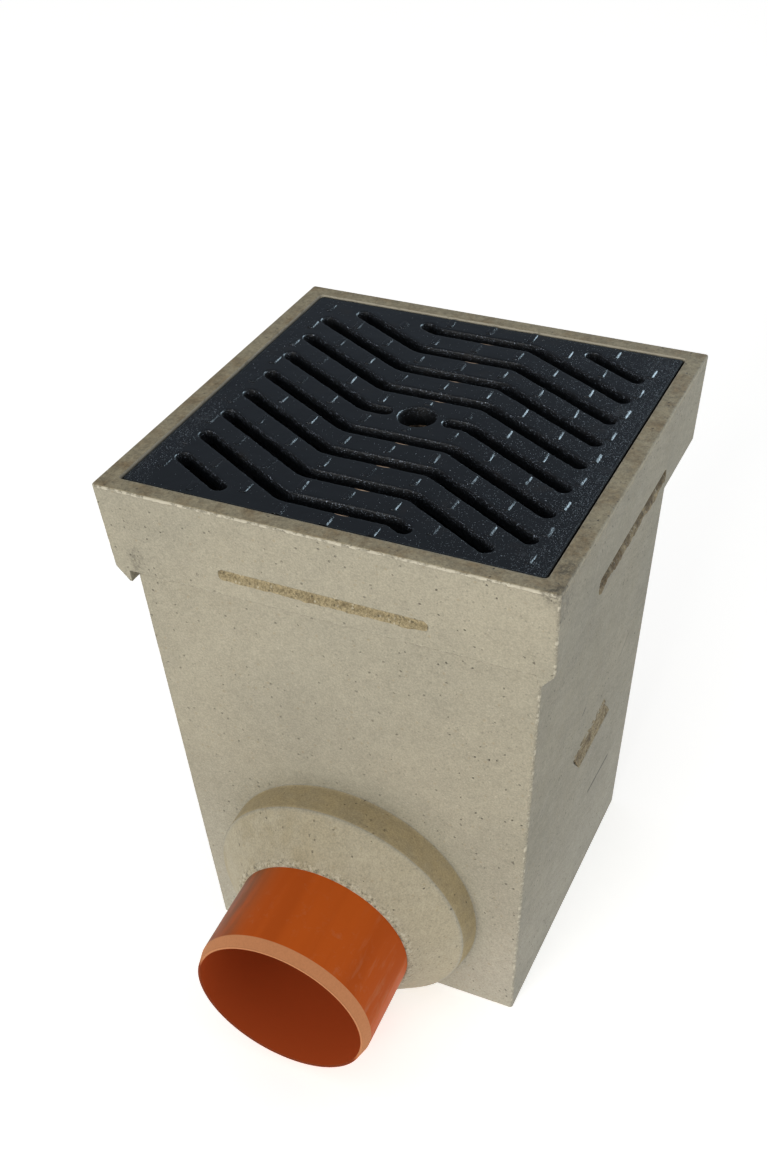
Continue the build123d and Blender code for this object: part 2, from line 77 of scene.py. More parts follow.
class Bench:
    """Node tree of one material, with short calls that add nodes and join them."""

    def __init__(self, name: str) -> None:
        """Start an empty tree with one shader and its output.

        Args:
            name: Name of the material.
        """
        self.material = bpy.data.materials.new(name)
        self.material.use_nodes = True
        self.tree = self.material.node_tree
        self.tree.nodes.clear()
        self.shader = self.add("ShaderNodeBsdfPrincipled")
        output = self.add("ShaderNodeOutputMaterial")
        self.tree.links.new(self.shader.outputs["BSDF"], output.inputs["Surface"])
        self.place = self.add("ShaderNodeTexCoord").outputs["Object"]
        geometry = self.add("ShaderNodeNewGeometry")
        self.normal = geometry.outputs["Normal"]
        self.x, self.y, self.z = self.split(self.place)
        self.nx, self.ny, self.nz = self.split(self.normal)
        self.shaken: Socket | None = None

    def add(self, kind: str, **settings: object) -> bpy.types.Node:
        """Add a node of a kind and set its plain properties.

        Args:
            kind: Blender's identifier of the node.
            settings: Properties to set on it.

        Returns:
            The new node.
        """
        node = self.tree.nodes.new(kind)
        for key, value in settings.items():
            setattr(node, key, value)
        return node

    def feed(self, socket: Socket, value: object) -> None:
        """Link a socket if the value is an output, and otherwise set it.

        Args:
            socket: Input socket.
            value: Another node's output, or a number, colour or vector.
        """
        if isinstance(value, bpy.types.NodeSocket):
            self.tree.links.new(value, socket)
        elif isinstance(value, tuple) and len(value) == 3 and socket.type == "RGBA":
            socket.default_value = (*value, 1.0)
        else:
            socket.default_value = value

    def split(self, vector: Socket) -> tuple[Socket, Socket, Socket]:
        """Three components of a vector output.

        Args:
            vector: The vector output.

        Returns:
            Its x, y and z.
        """
        node = self.add("ShaderNodeSeparateXYZ")
        self.feed(node.inputs[0], vector)
        return node.outputs[0], node.outputs[1], node.outputs[2]

    def math(self, operation: str, *values: object) -> Socket:
        """Result of a math node on one to three values.

        Args:
            operation: Blender's name of the sum.
            values: Numbers or outputs that go in.

        Returns:
            The result.
        """
        node = self.add("ShaderNodeMath", operation=operation)
        for socket, value in zip(node.inputs, values):
            self.feed(socket, value)
        return node.outputs[0]

    def total(self, *values: object) -> Socket:
        """Sum of several values.

        Args:
            values: Numbers or outputs.

        Returns:
            Their sum.
        """
        result = values[0]
        for value in values[1:]:
            result = self.math("ADD", result, value)
        return result

    def product(self, *values: object) -> Socket:
        """Product of several values.

        Args:
            values: Numbers or outputs.

        Returns:
            Their product.
        """
        result = values[0]
        for value in values[1:]:
            result = self.math("MULTIPLY", result, value)
        return result

    def step(self, value: Socket, low: float, high: float, out: tuple[float, float] = (0.0, 1.0)) -> Socket:
        """Smooth step of a value between two limits.

        Args:
            value: The value to map.
            low: Where the step starts, which may lie above high for a falling step.
            high: Where it ends.
            out: Result before and after the step.

        Returns:
            The mapped value, held at the ends.
        """
        node = self.add("ShaderNodeMapRange", interpolation_type="SMOOTHSTEP")
        start, end = out
        if low > high:
            low, high, start, end = high, low, end, start
        for name, number in (("From Min", low), ("From Max", high), ("To Min", start), ("To Max", end)):
            node.inputs[name].default_value = number
        self.feed(node.inputs["Value"], value)
        return node.outputs["Result"]

    def spread(self, scale: tuple[float, float, float], shift: tuple[float, float, float] = (0.0, 0.0, 0.0),
               turn: float = 0.0) -> Socket:
        """Object coordinates stretched, moved and turned about X.

        Args:
            scale: Factor for each axis, after the turn.
            shift: Move in metres.
            turn: Turn about X in radians.

        Returns:
            The new coordinates.
        """
        node = self.add("ShaderNodeMapping", vector_type="POINT")
        self.feed(node.inputs["Vector"], self.place)
        node.inputs["Location"].default_value = shift
        node.inputs["Rotation"].default_value = (turn, 0.0, 0.0)
        stretch = self.add("ShaderNodeVectorMath", operation="MULTIPLY")
        self.feed(stretch.inputs[0], node.outputs[0])
        stretch.inputs[1].default_value = scale
        return stretch.outputs[0]

    def noise(self, size: float, detail: float = 2.0, rough: float = 0.5, where: Socket | None = None,
              seed: float = 0.0) -> Socket:
        """Cloudy noise whose largest lumps are about size metres wide.

        Args:
            size: Width of the lumps in metres.
            detail: Number of finer layers.
            rough: Strength of the finer layers.
            where: Coordinates, by default the object's own.
            seed: Shift into another part of the pattern.

        Returns:
            A factor around one half.
        """
        node = self.add("ShaderNodeTexNoise", noise_dimensions="4D")
        self.feed(node.inputs["Vector"], where or self.place)
        for name, number in (("Scale", 1 / size), ("Detail", detail), ("Roughness", rough), ("W", seed)):
            node.inputs[name].default_value = number
        return node.outputs[0]

    def ragged(self) -> Socket:
        """Object coordinates shaken by fine noise, so that grains get broken outlines."""
        if self.shaken is None:
            wobble = self.add("ShaderNodeTexNoise")
            self.feed(wobble.inputs["Vector"], self.place)
            wobble.inputs["Scale"].default_value = 900.0
            wobble.inputs["Detail"].default_value = 1.0
            moved = self.add("ShaderNodeVectorMath", operation="MULTIPLY_ADD")
            self.feed(moved.inputs[0], wobble.outputs["Color"])
            moved.inputs[1].default_value = (0.0016, 0.0016, 0.0016)
            self.feed(moved.inputs[2], self.place)
            self.shaken = moved.outputs[0]
        return self.shaken

    def scatter(self, cell: float, width: float, seed: float) -> tuple[Socket, Socket]:
        """Grains, one in each random cell, with a random lot for each.

        Args:
            cell: Size of a cell in metres.
            width: Radius of a grain in metres.
            seed: Shift into another part of the pattern.

        Returns:
            Mask that is one on the grains, and the lot of the cell, from 0 to 1.
        """
        shift = self.add("ShaderNodeVectorMath", operation="ADD")
        self.feed(shift.inputs[0], self.ragged())
        shift.inputs[1].default_value = (seed, 0.37 * seed, 0.71 * seed)
        node = self.add("ShaderNodeTexVoronoi", voronoi_dimensions="3D")
        self.feed(node.inputs["Vector"], shift.outputs[0])
        node.inputs["Scale"].default_value = 1 / cell
        red = self.add("ShaderNodeSeparateColor")
        self.feed(red.inputs[0], node.outputs["Color"])
        reach = width / cell
        return self.step(node.outputs["Distance"], reach * 1.2, reach * 0.7), red.outputs[0]

    def grains(self, cell: float, width: float, share: float, seed: float) -> Socket:
        """Scattered grains in a share of the cells.

        Args:
            cell: Size of a cell in metres.
            width: Radius of a grain in metres.
            share: Share of the cells that hold a grain.
            seed: Shift into another part of the pattern.

        Returns:
            Mask that is one on the grains.
        """
        near, lot = self.scatter(cell, width, seed)
        return self.product(near, self.math("LESS_THAN", lot, share))

    def scaled(self, colour: object, factor: object) -> Socket:
        """Colour times a number.

        Args:
            colour: The colour.
            factor: The number.

        Returns:
            The scaled colour.
        """
        node = self.add("ShaderNodeVectorMath", operation="SCALE")
        self.feed(node.inputs[0], colour)
        self.feed(node.inputs["Scale"], factor)
        return node.outputs[0]

    def mix(self, share: object, low: object, high: object, blend: str = "MIX") -> Socket:
        """Colour between two colours.

        Args:
            share: Share of the second one.
            low: First colour.
            high: Second colour.
            blend: Blender's name of the way they mix.

        Returns:
            The mixed colour.
        """
        node = self.add("ShaderNodeMix", data_type="RGBA", blend_type=blend)
        self.feed(node.inputs["Factor"], share)
        self.feed(node.inputs["A"], low)
        self.feed(node.inputs["B"], high)
        return next(o for o in node.outputs if o.type == "RGBA")

    def bump(self, height: Socket, strength: float = 1.0, under: Socket | None = None) -> Socket:
        """Normal bent by a height given in millimetres.

        Args:
            height: The height.
            strength: Share of it that counts.
            under: Normal that is bent, if it isn't the face's own.

        Returns:
            The bent normal.
        """
        node = self.add("ShaderNodeBump")
        node.inputs["Strength"].default_value = strength
        node.inputs["Distance"].default_value = MM
        self.feed(node.inputs["Height"], height)
        if under is not None:
            self.feed(node.inputs["Normal"], under)
        return node.outputs[0]

    def edges(self, radius: object) -> tuple[Socket, Socket]:
        """Soften the edges.

        Args:
            radius: Radius of the rounding in metres, a number or a value of the tree.

        Returns:
            Mask of the edges, from how far the rounded normal turns from the true one, and the rounded
            normal.
        """
        node = self.add("ShaderNodeBevel", samples=6)
        self.feed(node.inputs["Radius"], radius)
        dot = self.add("ShaderNodeVectorMath", operation="DOT_PRODUCT")
        self.feed(dot.inputs[0], node.outputs[0])
        self.feed(dot.inputs[1], self.normal)
        return self.step(dot.outputs["Value"], 0.995, 0.86), node.outputs[0]

    def spot(self, centre: Colour, size: Colour, soft: float = 0.3, ragged: float = 0.5) -> Socket:
        """Ragged oval patch around a point.

        Args:
            centre: Middle in metres.
            size: Half width along each axis in metres.
            soft: Share of the size over which it fades.
            ragged: How far noise moves its outline.

        Returns:
            Mask that is one in the middle.
        """
        moved = self.add("ShaderNodeVectorMath", operation="SUBTRACT")
        self.feed(moved.inputs[0], self.place)
        moved.inputs[1].default_value = centre
        scaled = self.add("ShaderNodeVectorMath", operation="DIVIDE")
        self.feed(scaled.inputs[0], moved.outputs[0])
        scaled.inputs[1].default_value = size
        length = self.add("ShaderNodeVectorMath", operation="LENGTH")
        self.feed(length.inputs[0], scaled.outputs[0])
        wave = self.math("MULTIPLY_ADD", self.noise(min(size) * 0.8, 3.0), 2 * ragged, -ragged)
        return self.step(self.math("ADD", length.outputs["Value"], wave), 1.0, 1.0 - soft)

    def scratch(self, start: tuple[float, float], end: tuple[float, float], width: float) -> Socket:
        """Mask of a thin straight line over y and z.

        The distance to the line piece is worked out from the point's share along it, held between 0 and 1.

        Args:
            start: First end in metres.
            end: Second end in metres.
            width: Half of its width in metres.

        Returns:
            Mask that is one on the line.
        """
        run = (end[0] - start[0], end[1] - start[1])
        square = run[0] ** 2 + run[1] ** 2
        dy = self.math("SUBTRACT", self.y, start[0])
        dz = self.math("SUBTRACT", self.z, start[1])
        share = self.total(self.product(dy, run[0] / square), self.product(dz, run[1] / square))
        held = self.math("MINIMUM", self.math("MAXIMUM", share, 0.0), 1.0)
        off_y = self.math("SUBTRACT", dy, self.product(held, run[0]))
        off_z = self.math("SUBTRACT", dz, self.product(held, run[1]))
        away = self.math("SQRT", self.total(self.product(off_y, off_y), self.product(off_z, off_z)))
        return self.step(away, width, 0.3 * width)

    def dress(
        self, colour: object, roughness: object, normal: Socket | None = None, **fixed: object
    ) -> bpy.types.Material:
        """Give the shader its colour, roughness and bent normal, and the sockets that are the same all over.

        Args:
            colour: Base colour.
            roughness: Roughness.
            normal: Bent normal.
            fixed: Other sockets by name, with underscores for spaces.

        Returns:
            The finished material.
        """
        self.feed(self.shader.inputs["Base Color"], colour)
        self.feed(self.shader.inputs["Roughness"], roughness)
        if normal is not None:
            self.feed(self.shader.inputs["Normal"], normal)
        for name, value in fixed.items():
            self.feed(self.shader.inputs[name.replace("_", " ")], value)
        return self.material


@dataclass(frozen=True)
class PipeLine:
    """Axis of the outlet stub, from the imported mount."""

    end: Vector
    inward: Vector
    radius: float

    @classmethod
    def from_frame(cls) -> "PipeLine":
        """Read the spigot mount and the pipe's box.

        Returns:
            The pipe's line.
        """
        mount = next(m for m in frame["record"]["mounts"] if m["name"] == "outlet_spigot")
        inward = -Vector(mount["axis"]).normalized()
        middle = Vector(mount["pos_m"])
        low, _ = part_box("outlet_pipe")
        radius = mount["dims"]["r_mm"] * MM
        tip = radius - CastPipe.bevel_bite
        reach = (middle.y - low.y - tip * inward.z) / inward.y
        return cls(middle - inward * reach, inward, radius)

    def measures(self, bench: Bench) -> tuple[Socket, Socket]:
        """Distance along the pipe from its open end, and distance from its axis.

        Args:
            bench: The material's tree.

        Returns:
            The two distances in metres.
        """
        from_end = bench.add("ShaderNodeVectorMath", operation="SUBTRACT")
        bench.feed(from_end.inputs[0], bench.place)
        from_end.inputs[1].default_value = self.end
        dot = bench.add("ShaderNodeVectorMath", operation="DOT_PRODUCT")
        bench.feed(dot.inputs[0], from_end.outputs[0])
        dot.inputs[1].default_value = self.inward
        cross = bench.add("ShaderNodeVectorMath", operation="CROSS_PRODUCT")
        bench.feed(cross.inputs[0], from_end.outputs[0])
        cross.inputs[1].default_value = self.inward
        length = bench.add("ShaderNodeVectorMath", operation="LENGTH")
        bench.feed(length.inputs[0], cross.outputs[0])
        return dot.outputs["Value"], length.outputs["Value"]


@dataclass(frozen=True)
class CastConcrete:
    """Warm beige polymer concrete with fine sand, pores, dark specks and worn edges."""

    warm: Colour = (0.292, 0.266, 0.198)
    # Cooler, darker tone for random drifts, and for the side walls as painted shade.
    cool_and_side_shade: Colour = (0.250, 0.234, 0.180)
    rim: Colour = (0.325, 0.283, 0.188)
    rust: Colour = (0.250, 0.190, 0.106)
    olive: Colour = (0.345, 0.278, 0.155)
    # Lighter copy of the olive for the ring's upward-facing parts: painted light.
    lit_olive: Colour = (0.400, 0.322, 0.185)
    paler: Colour = (0.310, 0.292, 0.240)
    gritty: Colour = (0.345, 0.306, 0.214)
    mottle: Colour = (0.260, 0.215, 0.125)
    tan: Colour = (0.262, 0.214, 0.124)
    brown: Colour = (0.130, 0.096, 0.052)
    chip: Colour = (0.50, 0.46, 0.36)
    dark: Colour = (0.050, 0.043, 0.031)
    sand: float = 0.0013

    def material(self, pipe: PipeLine) -> bpy.types.Material:
        """Build the material for the whole casting.

        Args:
            pipe: Axis of the outlet, for what depends on the distance from it.

        Returns:
            The material.
        """
        bench = Bench("polymer_concrete")
        boss = self.boss(bench, pipe)
        colour = self.face_tones(bench, pipe)
        colour = bench.scaled(colour, self.tone(bench))
        colour, pits = self.specks(bench, colour)
        colour, chips, rounded = self.wear(bench, colour, boss)
        colour = self.stains(bench, colour)
        # Inner walls, ledges and floor painted nearly black: painted shade.
        colour = bench.mix(self.inside(bench), colour, (0.016, 0.015, 0.012))
        fine = bench.noise(self.sand, 2.0, 0.7, seed=1.0)
        lumps = bench.noise(0.004, 3.0, 0.6, seed=4.0)
        height = bench.total(
            bench.product(fine, 0.22),
            bench.product(lumps, 0.14),
            bench.product(bench.noise(0.03, 2.0, 0.5, seed=5.0), 0.6),
            bench.product(pits, -0.6),
            bench.product(chips, -0.6),
        )
        roughness = bench.step(bench.noise(0.018, 4.0, 0.65, seed=8.0), 0.2, 0.8, (0.66, 0.88))
        return bench.dress(colour, roughness, bench.bump(height, 1.0, rounded), Specular_IOR_Level=0.3)

    def boss(self, bench: Bench, pipe: PipeLine) -> Socket:
        """Mask of the boss round the outlet.

        Args:
            bench: The material's tree.
            pipe: The pipe's line.

        Returns:
            Mask that is one on the boss.
        """
        low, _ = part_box("gully_body")
        _, away = pipe.measures(bench)
        return bench.product(bench.step(away, pipe.radius + 0.046, pipe.radius + 0.040),
                             bench.step(bench.y, low.y + 0.110, low.y + 0.095))

    def tone(self, bench: Bench) -> Socket:
        """Factor of the sand's salt and pepper, soft blotches, and brushed streaks on the side walls.

        Args:
            bench: The material's tree.

        Returns:
            Factor for the colour, about one.
        """
        _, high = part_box("gully_body")
        top = bench.step(bench.z, high.z - 0.0030, high.z - 0.0008)
        grain = bench.step(bench.noise(self.sand, 2.0, 0.75, seed=1.5), 0.28, 0.72, (-0.15, 0.15))
        blotch = bench.step(bench.noise(0.006, 3.0, 0.6, seed=8.0), 0.3, 0.7, (-0.045, 0.045))
        cloud = bench.step(bench.noise(0.06, 3.0, 0.6, seed=9.0), 0.3, 0.7, (-0.04, 0.04))
        brushed = bench.noise(0.005, 3.0, 0.6, bench.spread((1.0, 0.12, 1.0), turn=0.35), 3.0)
        sides = bench.step(bench.math("ABSOLUTE", bench.nx), 0.8, 0.95)
        streaks = bench.product(bench.step(brushed, 0.3, 0.7, (-0.05, 0.05)), sides)
        gritty = bench.product(
            bench.step(bench.noise(0.0030, 3.0, 0.7, seed=11.0), 0.3, 0.7, (-0.20, 0.20)), top
        )
        # Lighter towards the bottom.
        lighter_low = bench.step(bench.z, 0.15, 0.0, (0.0, 0.10))
        return bench.total(1.0, grain, blotch, cloud, streaks, gritty, lighter_low)

    def face_tones(self, bench: Bench, pipe: PipeLine) -> Socket:
        """Base colour: beige faces, side walls in painted shade, darker rim top, olive boss ring painted
        lighter where it faces up, and gritty cone.

        Args:
            bench: The material's tree.
            pipe: Axis of the outlet.

        Returns:
            The colour.
        """
        low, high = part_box("gully_body")
        drift = bench.step(bench.noise(0.11, 3.0, 0.6, seed=3.0), 0.35, 0.68, (0.0, 0.5))
        # Side walls get the cooler, darker tone by their normal: painted shade.
        sides = bench.step(bench.math("ABSOLUTE", bench.nx), 0.6, 0.95, (0.0, 0.5))
        colour = bench.mix(bench.total(drift, sides), self.warm, self.cool_and_side_shade)
        colour = bench.mix(bench.step(bench.z, 0.20, 0.0, (0.0, 0.7)), colour, self.paler)
        top = bench.product(
            bench.step(bench.nz, 0.5, 0.9), bench.step(bench.z, high.z - 0.003, high.z - 0.0005)
        )
        browned = bench.mix(
            bench.step(bench.noise(0.016, 4.0, 0.7, seed=12.0), 0.42, 0.70), self.rim, self.rust
        )
        colour = bench.mix(top, colour, browned)
        uneven = bench.product(bench.noise(0.012, 4.0, 0.7, seed=13.0), -0.016)
        smear = bench.step(bench.total(bench.z, uneven),
                           high.z - 0.0135, high.z - 0.0085)
        right = bench.step(bench.nx, 0.7, 0.9)
        colour = bench.mix(bench.product(smear, right, 0.7), colour, self.rim)
        along, away = pipe.measures(bench)
        wavy = bench.product(bench.noise(0.008, 3.0, 0.6, seed=20.0), 0.0016)
        ragged = bench.total(away, wavy, -0.0008)
        ring = bench.product(
            bench.step(ragged, pipe.radius + 0.0190, pipe.radius + 0.0230),
            bench.step(ragged, pipe.radius + 0.0450, pipe.radius + 0.0405),
            bench.step(bench.y, low.y + 0.084, low.y + 0.076),
            bench.step(bench.ny, -0.62, -0.45),
        )
        ring_share = bench.step(bench.noise(0.014, 4.0, 0.65, seed=21.0), 0.25, 0.65, (0.65, 1.0))
        # Ring parts that face up get the lighter olive: painted light.
        ring_tone = bench.mix(bench.step(bench.nz, 0.15, 0.65), self.olive, self.lit_olive)
        colour = bench.mix(bench.product(ring, ring_share), colour, ring_tone)
        cone = bench.product(
            bench.step(away, pipe.radius + 0.030, pipe.radius + 0.027), bench.step(along, 0.100, 0.094)
        )
        colour = bench.mix(bench.product(cone, 0.75), colour, self.gritty)
        mottled = bench.product(cone, bench.step(bench.noise(0.030, 4.0, 0.65, seed=22.0), 0.35, 0.65),
                                bench.step(bench.x, 0.03, -0.04, (0.15, 0.65)))
        colour = bench.mix(mottled, colour, self.mottle)
        collar = bench.product(
            bench.step(ragged, pipe.radius + 0.0062, pipe.radius + 0.0020), bench.step(along, 0.10, 0.094)
        )
        grit = bench.noise(0.0024, 3.0, 0.75, seed=31.0)
        colour = bench.mix(bench.product(collar, bench.step(grit, 0.50, 0.60), 0.55), colour, self.chip)
        return bench.mix(bench.product(collar, bench.step(grit, 0.46, 0.38), 0.60), colour, self.dark)

    def specks(self, bench: Bench, colour: Socket) -> tuple[Socket, Socket]:
        """Dark and light grains and small open pores.

        Args:
            bench: The material's tree.
            colour: Colour so far.

        Returns:
            The speckled colour and the mask of the pores.
        """
        clusters = bench.step(bench.noise(0.05, 2.0, seed=41.0), 0.35, 0.65, (0.30, 0.80))
        crowd = bench.total(clusters, bench.step(bench.x, 0.0, 0.10, (0.0, 0.3)))
        faint = bench.product(bench.grains(0.0032, 0.0007, 0.50, 1.3), crowd)
        colour = bench.mix(bench.product(faint, 0.32), colour, self.dark)
        light = bench.grains(0.0044, 0.0006, 0.25, 2.7)
        colour = bench.mix(bench.product(light, 0.28), colour, self.chip)
        brown = bench.grains(0.0050, 0.0009, 0.30, 6.1)
        colour = bench.mix(bench.product(brown, 0.40), colour, self.rust)
        pore = bench.grains(0.0052, 0.00070, 0.34, 4.9)
        return bench.mix(bench.product(pore, crowd, 0.80), colour, self.dark), pore

    def wear(self, bench: Bench, colour: Socket, boss: Socket) -> tuple[Socket, Socket, Socket]:
        """Light chips along the edges, thickest round the rim, and none on the soft edges of the boss.

        Args:
            bench: The material's tree.
            colour: Colour so far.
            boss: Mask of the boss.

        Returns:
            The worn colour, the mask of the chips and the normal with softened edges.
        """
        _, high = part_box("gully_body")
        edge, rounded = bench.edges(bench.step(boss, 0.0, 1.0, (0.0016, 0.0040)))
        wobble = bench.product(bench.noise(0.006, 4.0, 0.7, seed=16.0), 0.0022)
        upper = bench.step(bench.total(bench.z, wobble), high.z - 0.0016, high.z - 0.0006)
        front = bench.step(bench.ny, -0.15, -0.5, (0.35, 1.0))
        rim_line = bench.product(upper, bench.step(bench.nz, 0.93, 0.75), front)
        corner = bench.product(bench.step(bench.math("ABSOLUTE", bench.nx), 0.12, 0.35),
                               bench.step(bench.math("ABSOLUTE", bench.ny), 0.12, 0.35))
        inner = bench.product(
            self.facing_in(bench), bench.step(bench.total(bench.z, wobble), high.z - 0.0040, high.z - 0.0025)
        )
        edge = bench.math(
            "MAXIMUM", bench.math("MAXIMUM", edge, corner), bench.math("MAXIMUM", rim_line, inner)
        )
        lot = bench.total(
            bench.noise(0.004, 4.0, 0.7, seed=17.0), bench.product(upper, 0.08), bench.product(inner, 0.10)
        )
        chips = bench.product(edge, bench.step(lot, 0.46, 0.60), bench.math("SUBTRACT", 1.0, boss))
        return bench.mix(bench.product(chips, 0.80), colour, self.chip), chips, rounded

    def facing_in(self, bench: Bench) -> Socket:
        """Mask of the walls that face the middle."""
        inward = bench.total(bench.product(bench.nx, bench.x), bench.product(bench.ny, bench.y))
        return bench.step(inward, -0.02, -0.06)

    def stains(self, bench: Bench, colour: Socket) -> Socket:
        """Dark dirt by the left notch and round the rim's front right corner, and scratches on the right.

        Args:
            bench: The material's tree.
            colour: The colour so far.

        Returns:
            The stained colour.
        """
        speckled = bench.step(bench.noise(0.0030, 4.0, 0.75, seed=51.0), 0.40, 0.60)
        for centre, size, share in (
            ((0.1450, -0.1480, 0.3930), (0.009, 0.010, 0.010), 0.75),
            ((0.1440, -0.1260, 0.3950), (0.008, 0.016, 0.008), 0.70),
            ((0.1480, -0.1380, 0.3830), (0.008, 0.016, 0.016), 0.45),
            ((-0.1290, -0.1450, 0.3400), (0.008, 0.012, 0.014), 0.5),
        ):
            mask = bench.product(bench.spot(centre, size, 0.8), speckled, share)
            colour = bench.mix(mask, colour, self.dark)
        right = bench.step(bench.nx, 0.7, 0.9)
        for start, end, width, share in (
            ((0.0230, 0.0915), (0.0700, 0.0880), 0.0018, 0.8),
            ((-0.0250, 0.2060), (-0.0200, 0.2080), 0.0018, 0.6),
            ((0.0620, 0.1930), (0.0780, 0.2010), 0.0014, 0.45),
        ):
            broken = bench.step(bench.noise(0.004, 2.0, seed=52.0), 0.25, 0.40)
            colour = bench.mix(
                bench.product(bench.scratch(start, end, width), right, broken, share), colour, self.dark
            )
        return colour

    def inside(self, bench: Bench) -> Socket:
        """Mask of the inner walls, ledges and floor, which are painted nearly black as painted shade.

        Args:
            bench: The material's tree.

        Returns:
            Mask that is one inside.
        """
        far = bench.math("MAXIMUM", bench.math("ABSOLUTE", bench.x), bench.math("ABSOLUTE", bench.y))
        within = bench.math("LESS_THAN", far, bench.step(bench.z, 0.3640, 0.3660, (0.1280, 0.1390)))
        walls = bench.product(self.facing_in(bench), bench.step(bench.z, 0.3935, 0.3915), within)
        ledge = bench.product(bench.step(bench.nz, 0.5, 0.8), bench.step(bench.z, 0.392, 0.390),
                              bench.step(bench.z, 0.30, 0.31), within)
        floor = bench.product(bench.step(bench.nz, 0.5, 0.8), bench.step(bench.z, 0.03, 0.02))
        return bench.math("MAXIMUM", walls, bench.math("MAXIMUM", ledge, floor))

    def crust(self) -> bpy.types.Material:
        """Build the material of the rough sandy places: loose brown sand with dark and light grains.

        Returns:
            The material.
        """
        bench = Bench("sandy_crust")
        patches = bench.noise(0.007, 3.0, 0.65, seed=3.0)
        # Lighter tan low on the wall and on the front groove, browner elsewhere.
        tan_front_and_low = bench.total(
            bench.step(bench.z, 0.26, 0.24, (0.0, 0.08)), bench.step(bench.y, -0.120, -0.130, (0.0, 0.22))
        )
        colour = bench.mix(
            bench.step(bench.math("SUBTRACT", patches, tan_front_and_low), 0.30, 0.60), self.tan, self.brown
        )
        grain = bench.noise(0.0011, 2.0, 0.75, seed=5.0)
        colour = bench.scaled(colour, bench.step(grain, 0.28, 0.72, (0.62, 1.38)))
        colour = bench.mix(bench.product(bench.grains(0.0026, 0.0008, 0.35, 3.3), 0.6), colour, self.dark)
        colour = bench.mix(bench.product(bench.grains(0.0030, 0.0007, 0.30, 8.1), 0.5), colour, self.chip)
        height = bench.total(
            bench.product(grain, 0.45), bench.product(bench.noise(0.003, 2.0, 0.6, seed=6.0), 0.5)
        )
        return bench.dress(
            colour, bench.step(patches, 0.3, 0.7, (0.8, 0.95)), bench.bump(height), Specular_IOR_Level=0.25
        )


@dataclass(frozen=True)
class CastPipe:
    """Extruded orange brown pipe with soft streaks and a flat machined bevel."""

    skin: Colour = (0.530, 0.098, 0.0130)
    deep: Colour = (0.450, 0.080, 0.0110)
    # Darker copy of the skin for the pipe's inside: painted shade.
    inner: Colour = (0.420, 0.072, 0.0170)
    bevel: Colour = (0.51, 0.218, 0.100)
    dust: Colour = (0.46, 0.22, 0.12)
    # Darker tone towards the pipe's left side.
    darker_left: Colour = (0.150, 0.075, 0.035)
    bevel_length: float = 0.0083
    bevel_bite: float = 0.0022

    def material(self, pipe: PipeLine) -> bpy.types.Material:
        """Build the pipe's material.

        Args:
            pipe: Axis of the pipe.

        Returns:
            The material.
        """
        bench = Bench("orange_pvc")
        along, away = pipe.measures(bench)
        slope = math.asin(pipe.inward.z)
        streaks = bench.noise(0.004, 3.0, 0.6, bench.spread((1.0, 0.03, 1.0), turn=-slope), 2.0)
        broad = bench.noise(0.02, 2.0, 0.5, bench.spread((1.0, 0.10, 1.0), turn=-slope), 6.0)
        colour = bench.mix(bench.step(broad, 0.35, 0.7), self.skin, self.deep)
        colour = bench.mix(bench.step(streaks, 0.50, 0.75, (0.0, 0.30)), colour, self.deep)
        scuffs = bench.product(bench.step(bench.noise(0.006, 5.0, 0.7, seed=14.0), 0.52, 0.70),
                               bench.step(bench.noise(0.035, 2.0, seed=15.0), 0.42, 0.62))
        colour = bench.mix(bench.product(scuffs, 0.22), colour, self.dust)
        # Darker towards the pipe's left side, with a ragged edge.
        left = bench.product(
            bench.step(bench.x, -0.020, -0.050),
            bench.step(bench.noise(0.012, 4.0, 0.65, bench.spread((1.0, 0.3, 1.0), turn=-slope), 16.0), 0.30,
                0.60, (0.35, 1.0)),
        )
        colour = bench.mix(bench.product(left, 0.80), colour, self.darker_left)
        chalky = bench.product(
            bench.step(bench.x, 0.032, 0.050),
            bench.step(bench.noise(0.007, 4.0, 0.65, bench.spread((1.0, 0.2, 1.0), turn=-slope), 18.0), 0.50,
                0.68),
        )
        colour = bench.mix(bench.product(chalky, 0.30), colour, self.dust)
        # The inside gets the darker copy of the skin: painted shade.
        inside = bench.step(away, pipe.radius - 0.0030, pipe.radius - 0.0034)
        colour = bench.mix(inside, colour, self.inner)
        band = bench.product(
            bench.step(along, self.bevel_length + 0.0002, self.bevel_length - 0.0002),
            bench.math("MAXIMUM", bench.step(away, pipe.radius - 0.0036, pipe.radius - 0.0034),
                bench.step(along, 0.0006, 0.0003)),
        )
        # The end face is painted darker than the bevel, and darkest on its lower part: painted shade.
        end_face = bench.step(along, 0.0004, 0.0002)
        upwards = bench.total(bench.product(bench.x, 0.41), bench.product(bench.z, 0.91), -0.91 * pipe.end.z)
        lip = bench.product(end_face, bench.step(upwards, 0.006, -0.010))
        colour = bench.mix(lip, colour, bench.scaled(self.inner, 0.40))
        band = bench.product(band, bench.math("SUBTRACT", 1.0, lip))
        tool_marks = bench.step(bench.noise(0.0012, 2.0, 0.6, seed=4.0), 0.3, 0.7, (0.95, 1.04))
        # Bevel colour, painted darker on the end face as painted shade.
        bare = bench.scaled(
            self.bevel, bench.product(tool_marks, bench.step(end_face, 0.0, 1.0, (1.0, 0.78)))
        )
        colour = bench.mix(band, colour, bare)
        shine = bench.step(broad, 0.3, 0.7, (0.38, 0.50))
        roughness = bench.total(
            shine, bench.product(scuffs, 0.20), bench.product(band, 0.35), bench.product(inside, 0.25)
        )
        outer = bench.math("SUBTRACT", 1.0, inside)
        height = bench.total(
            bench.product(streaks, outer, 0.05), bench.product(bench.noise(0.012, 2.0, seed=5.0), 0.10)
        )
        return bench.dress(colour, roughness, bench.bump(height), Specular_IOR_Level=0.03)


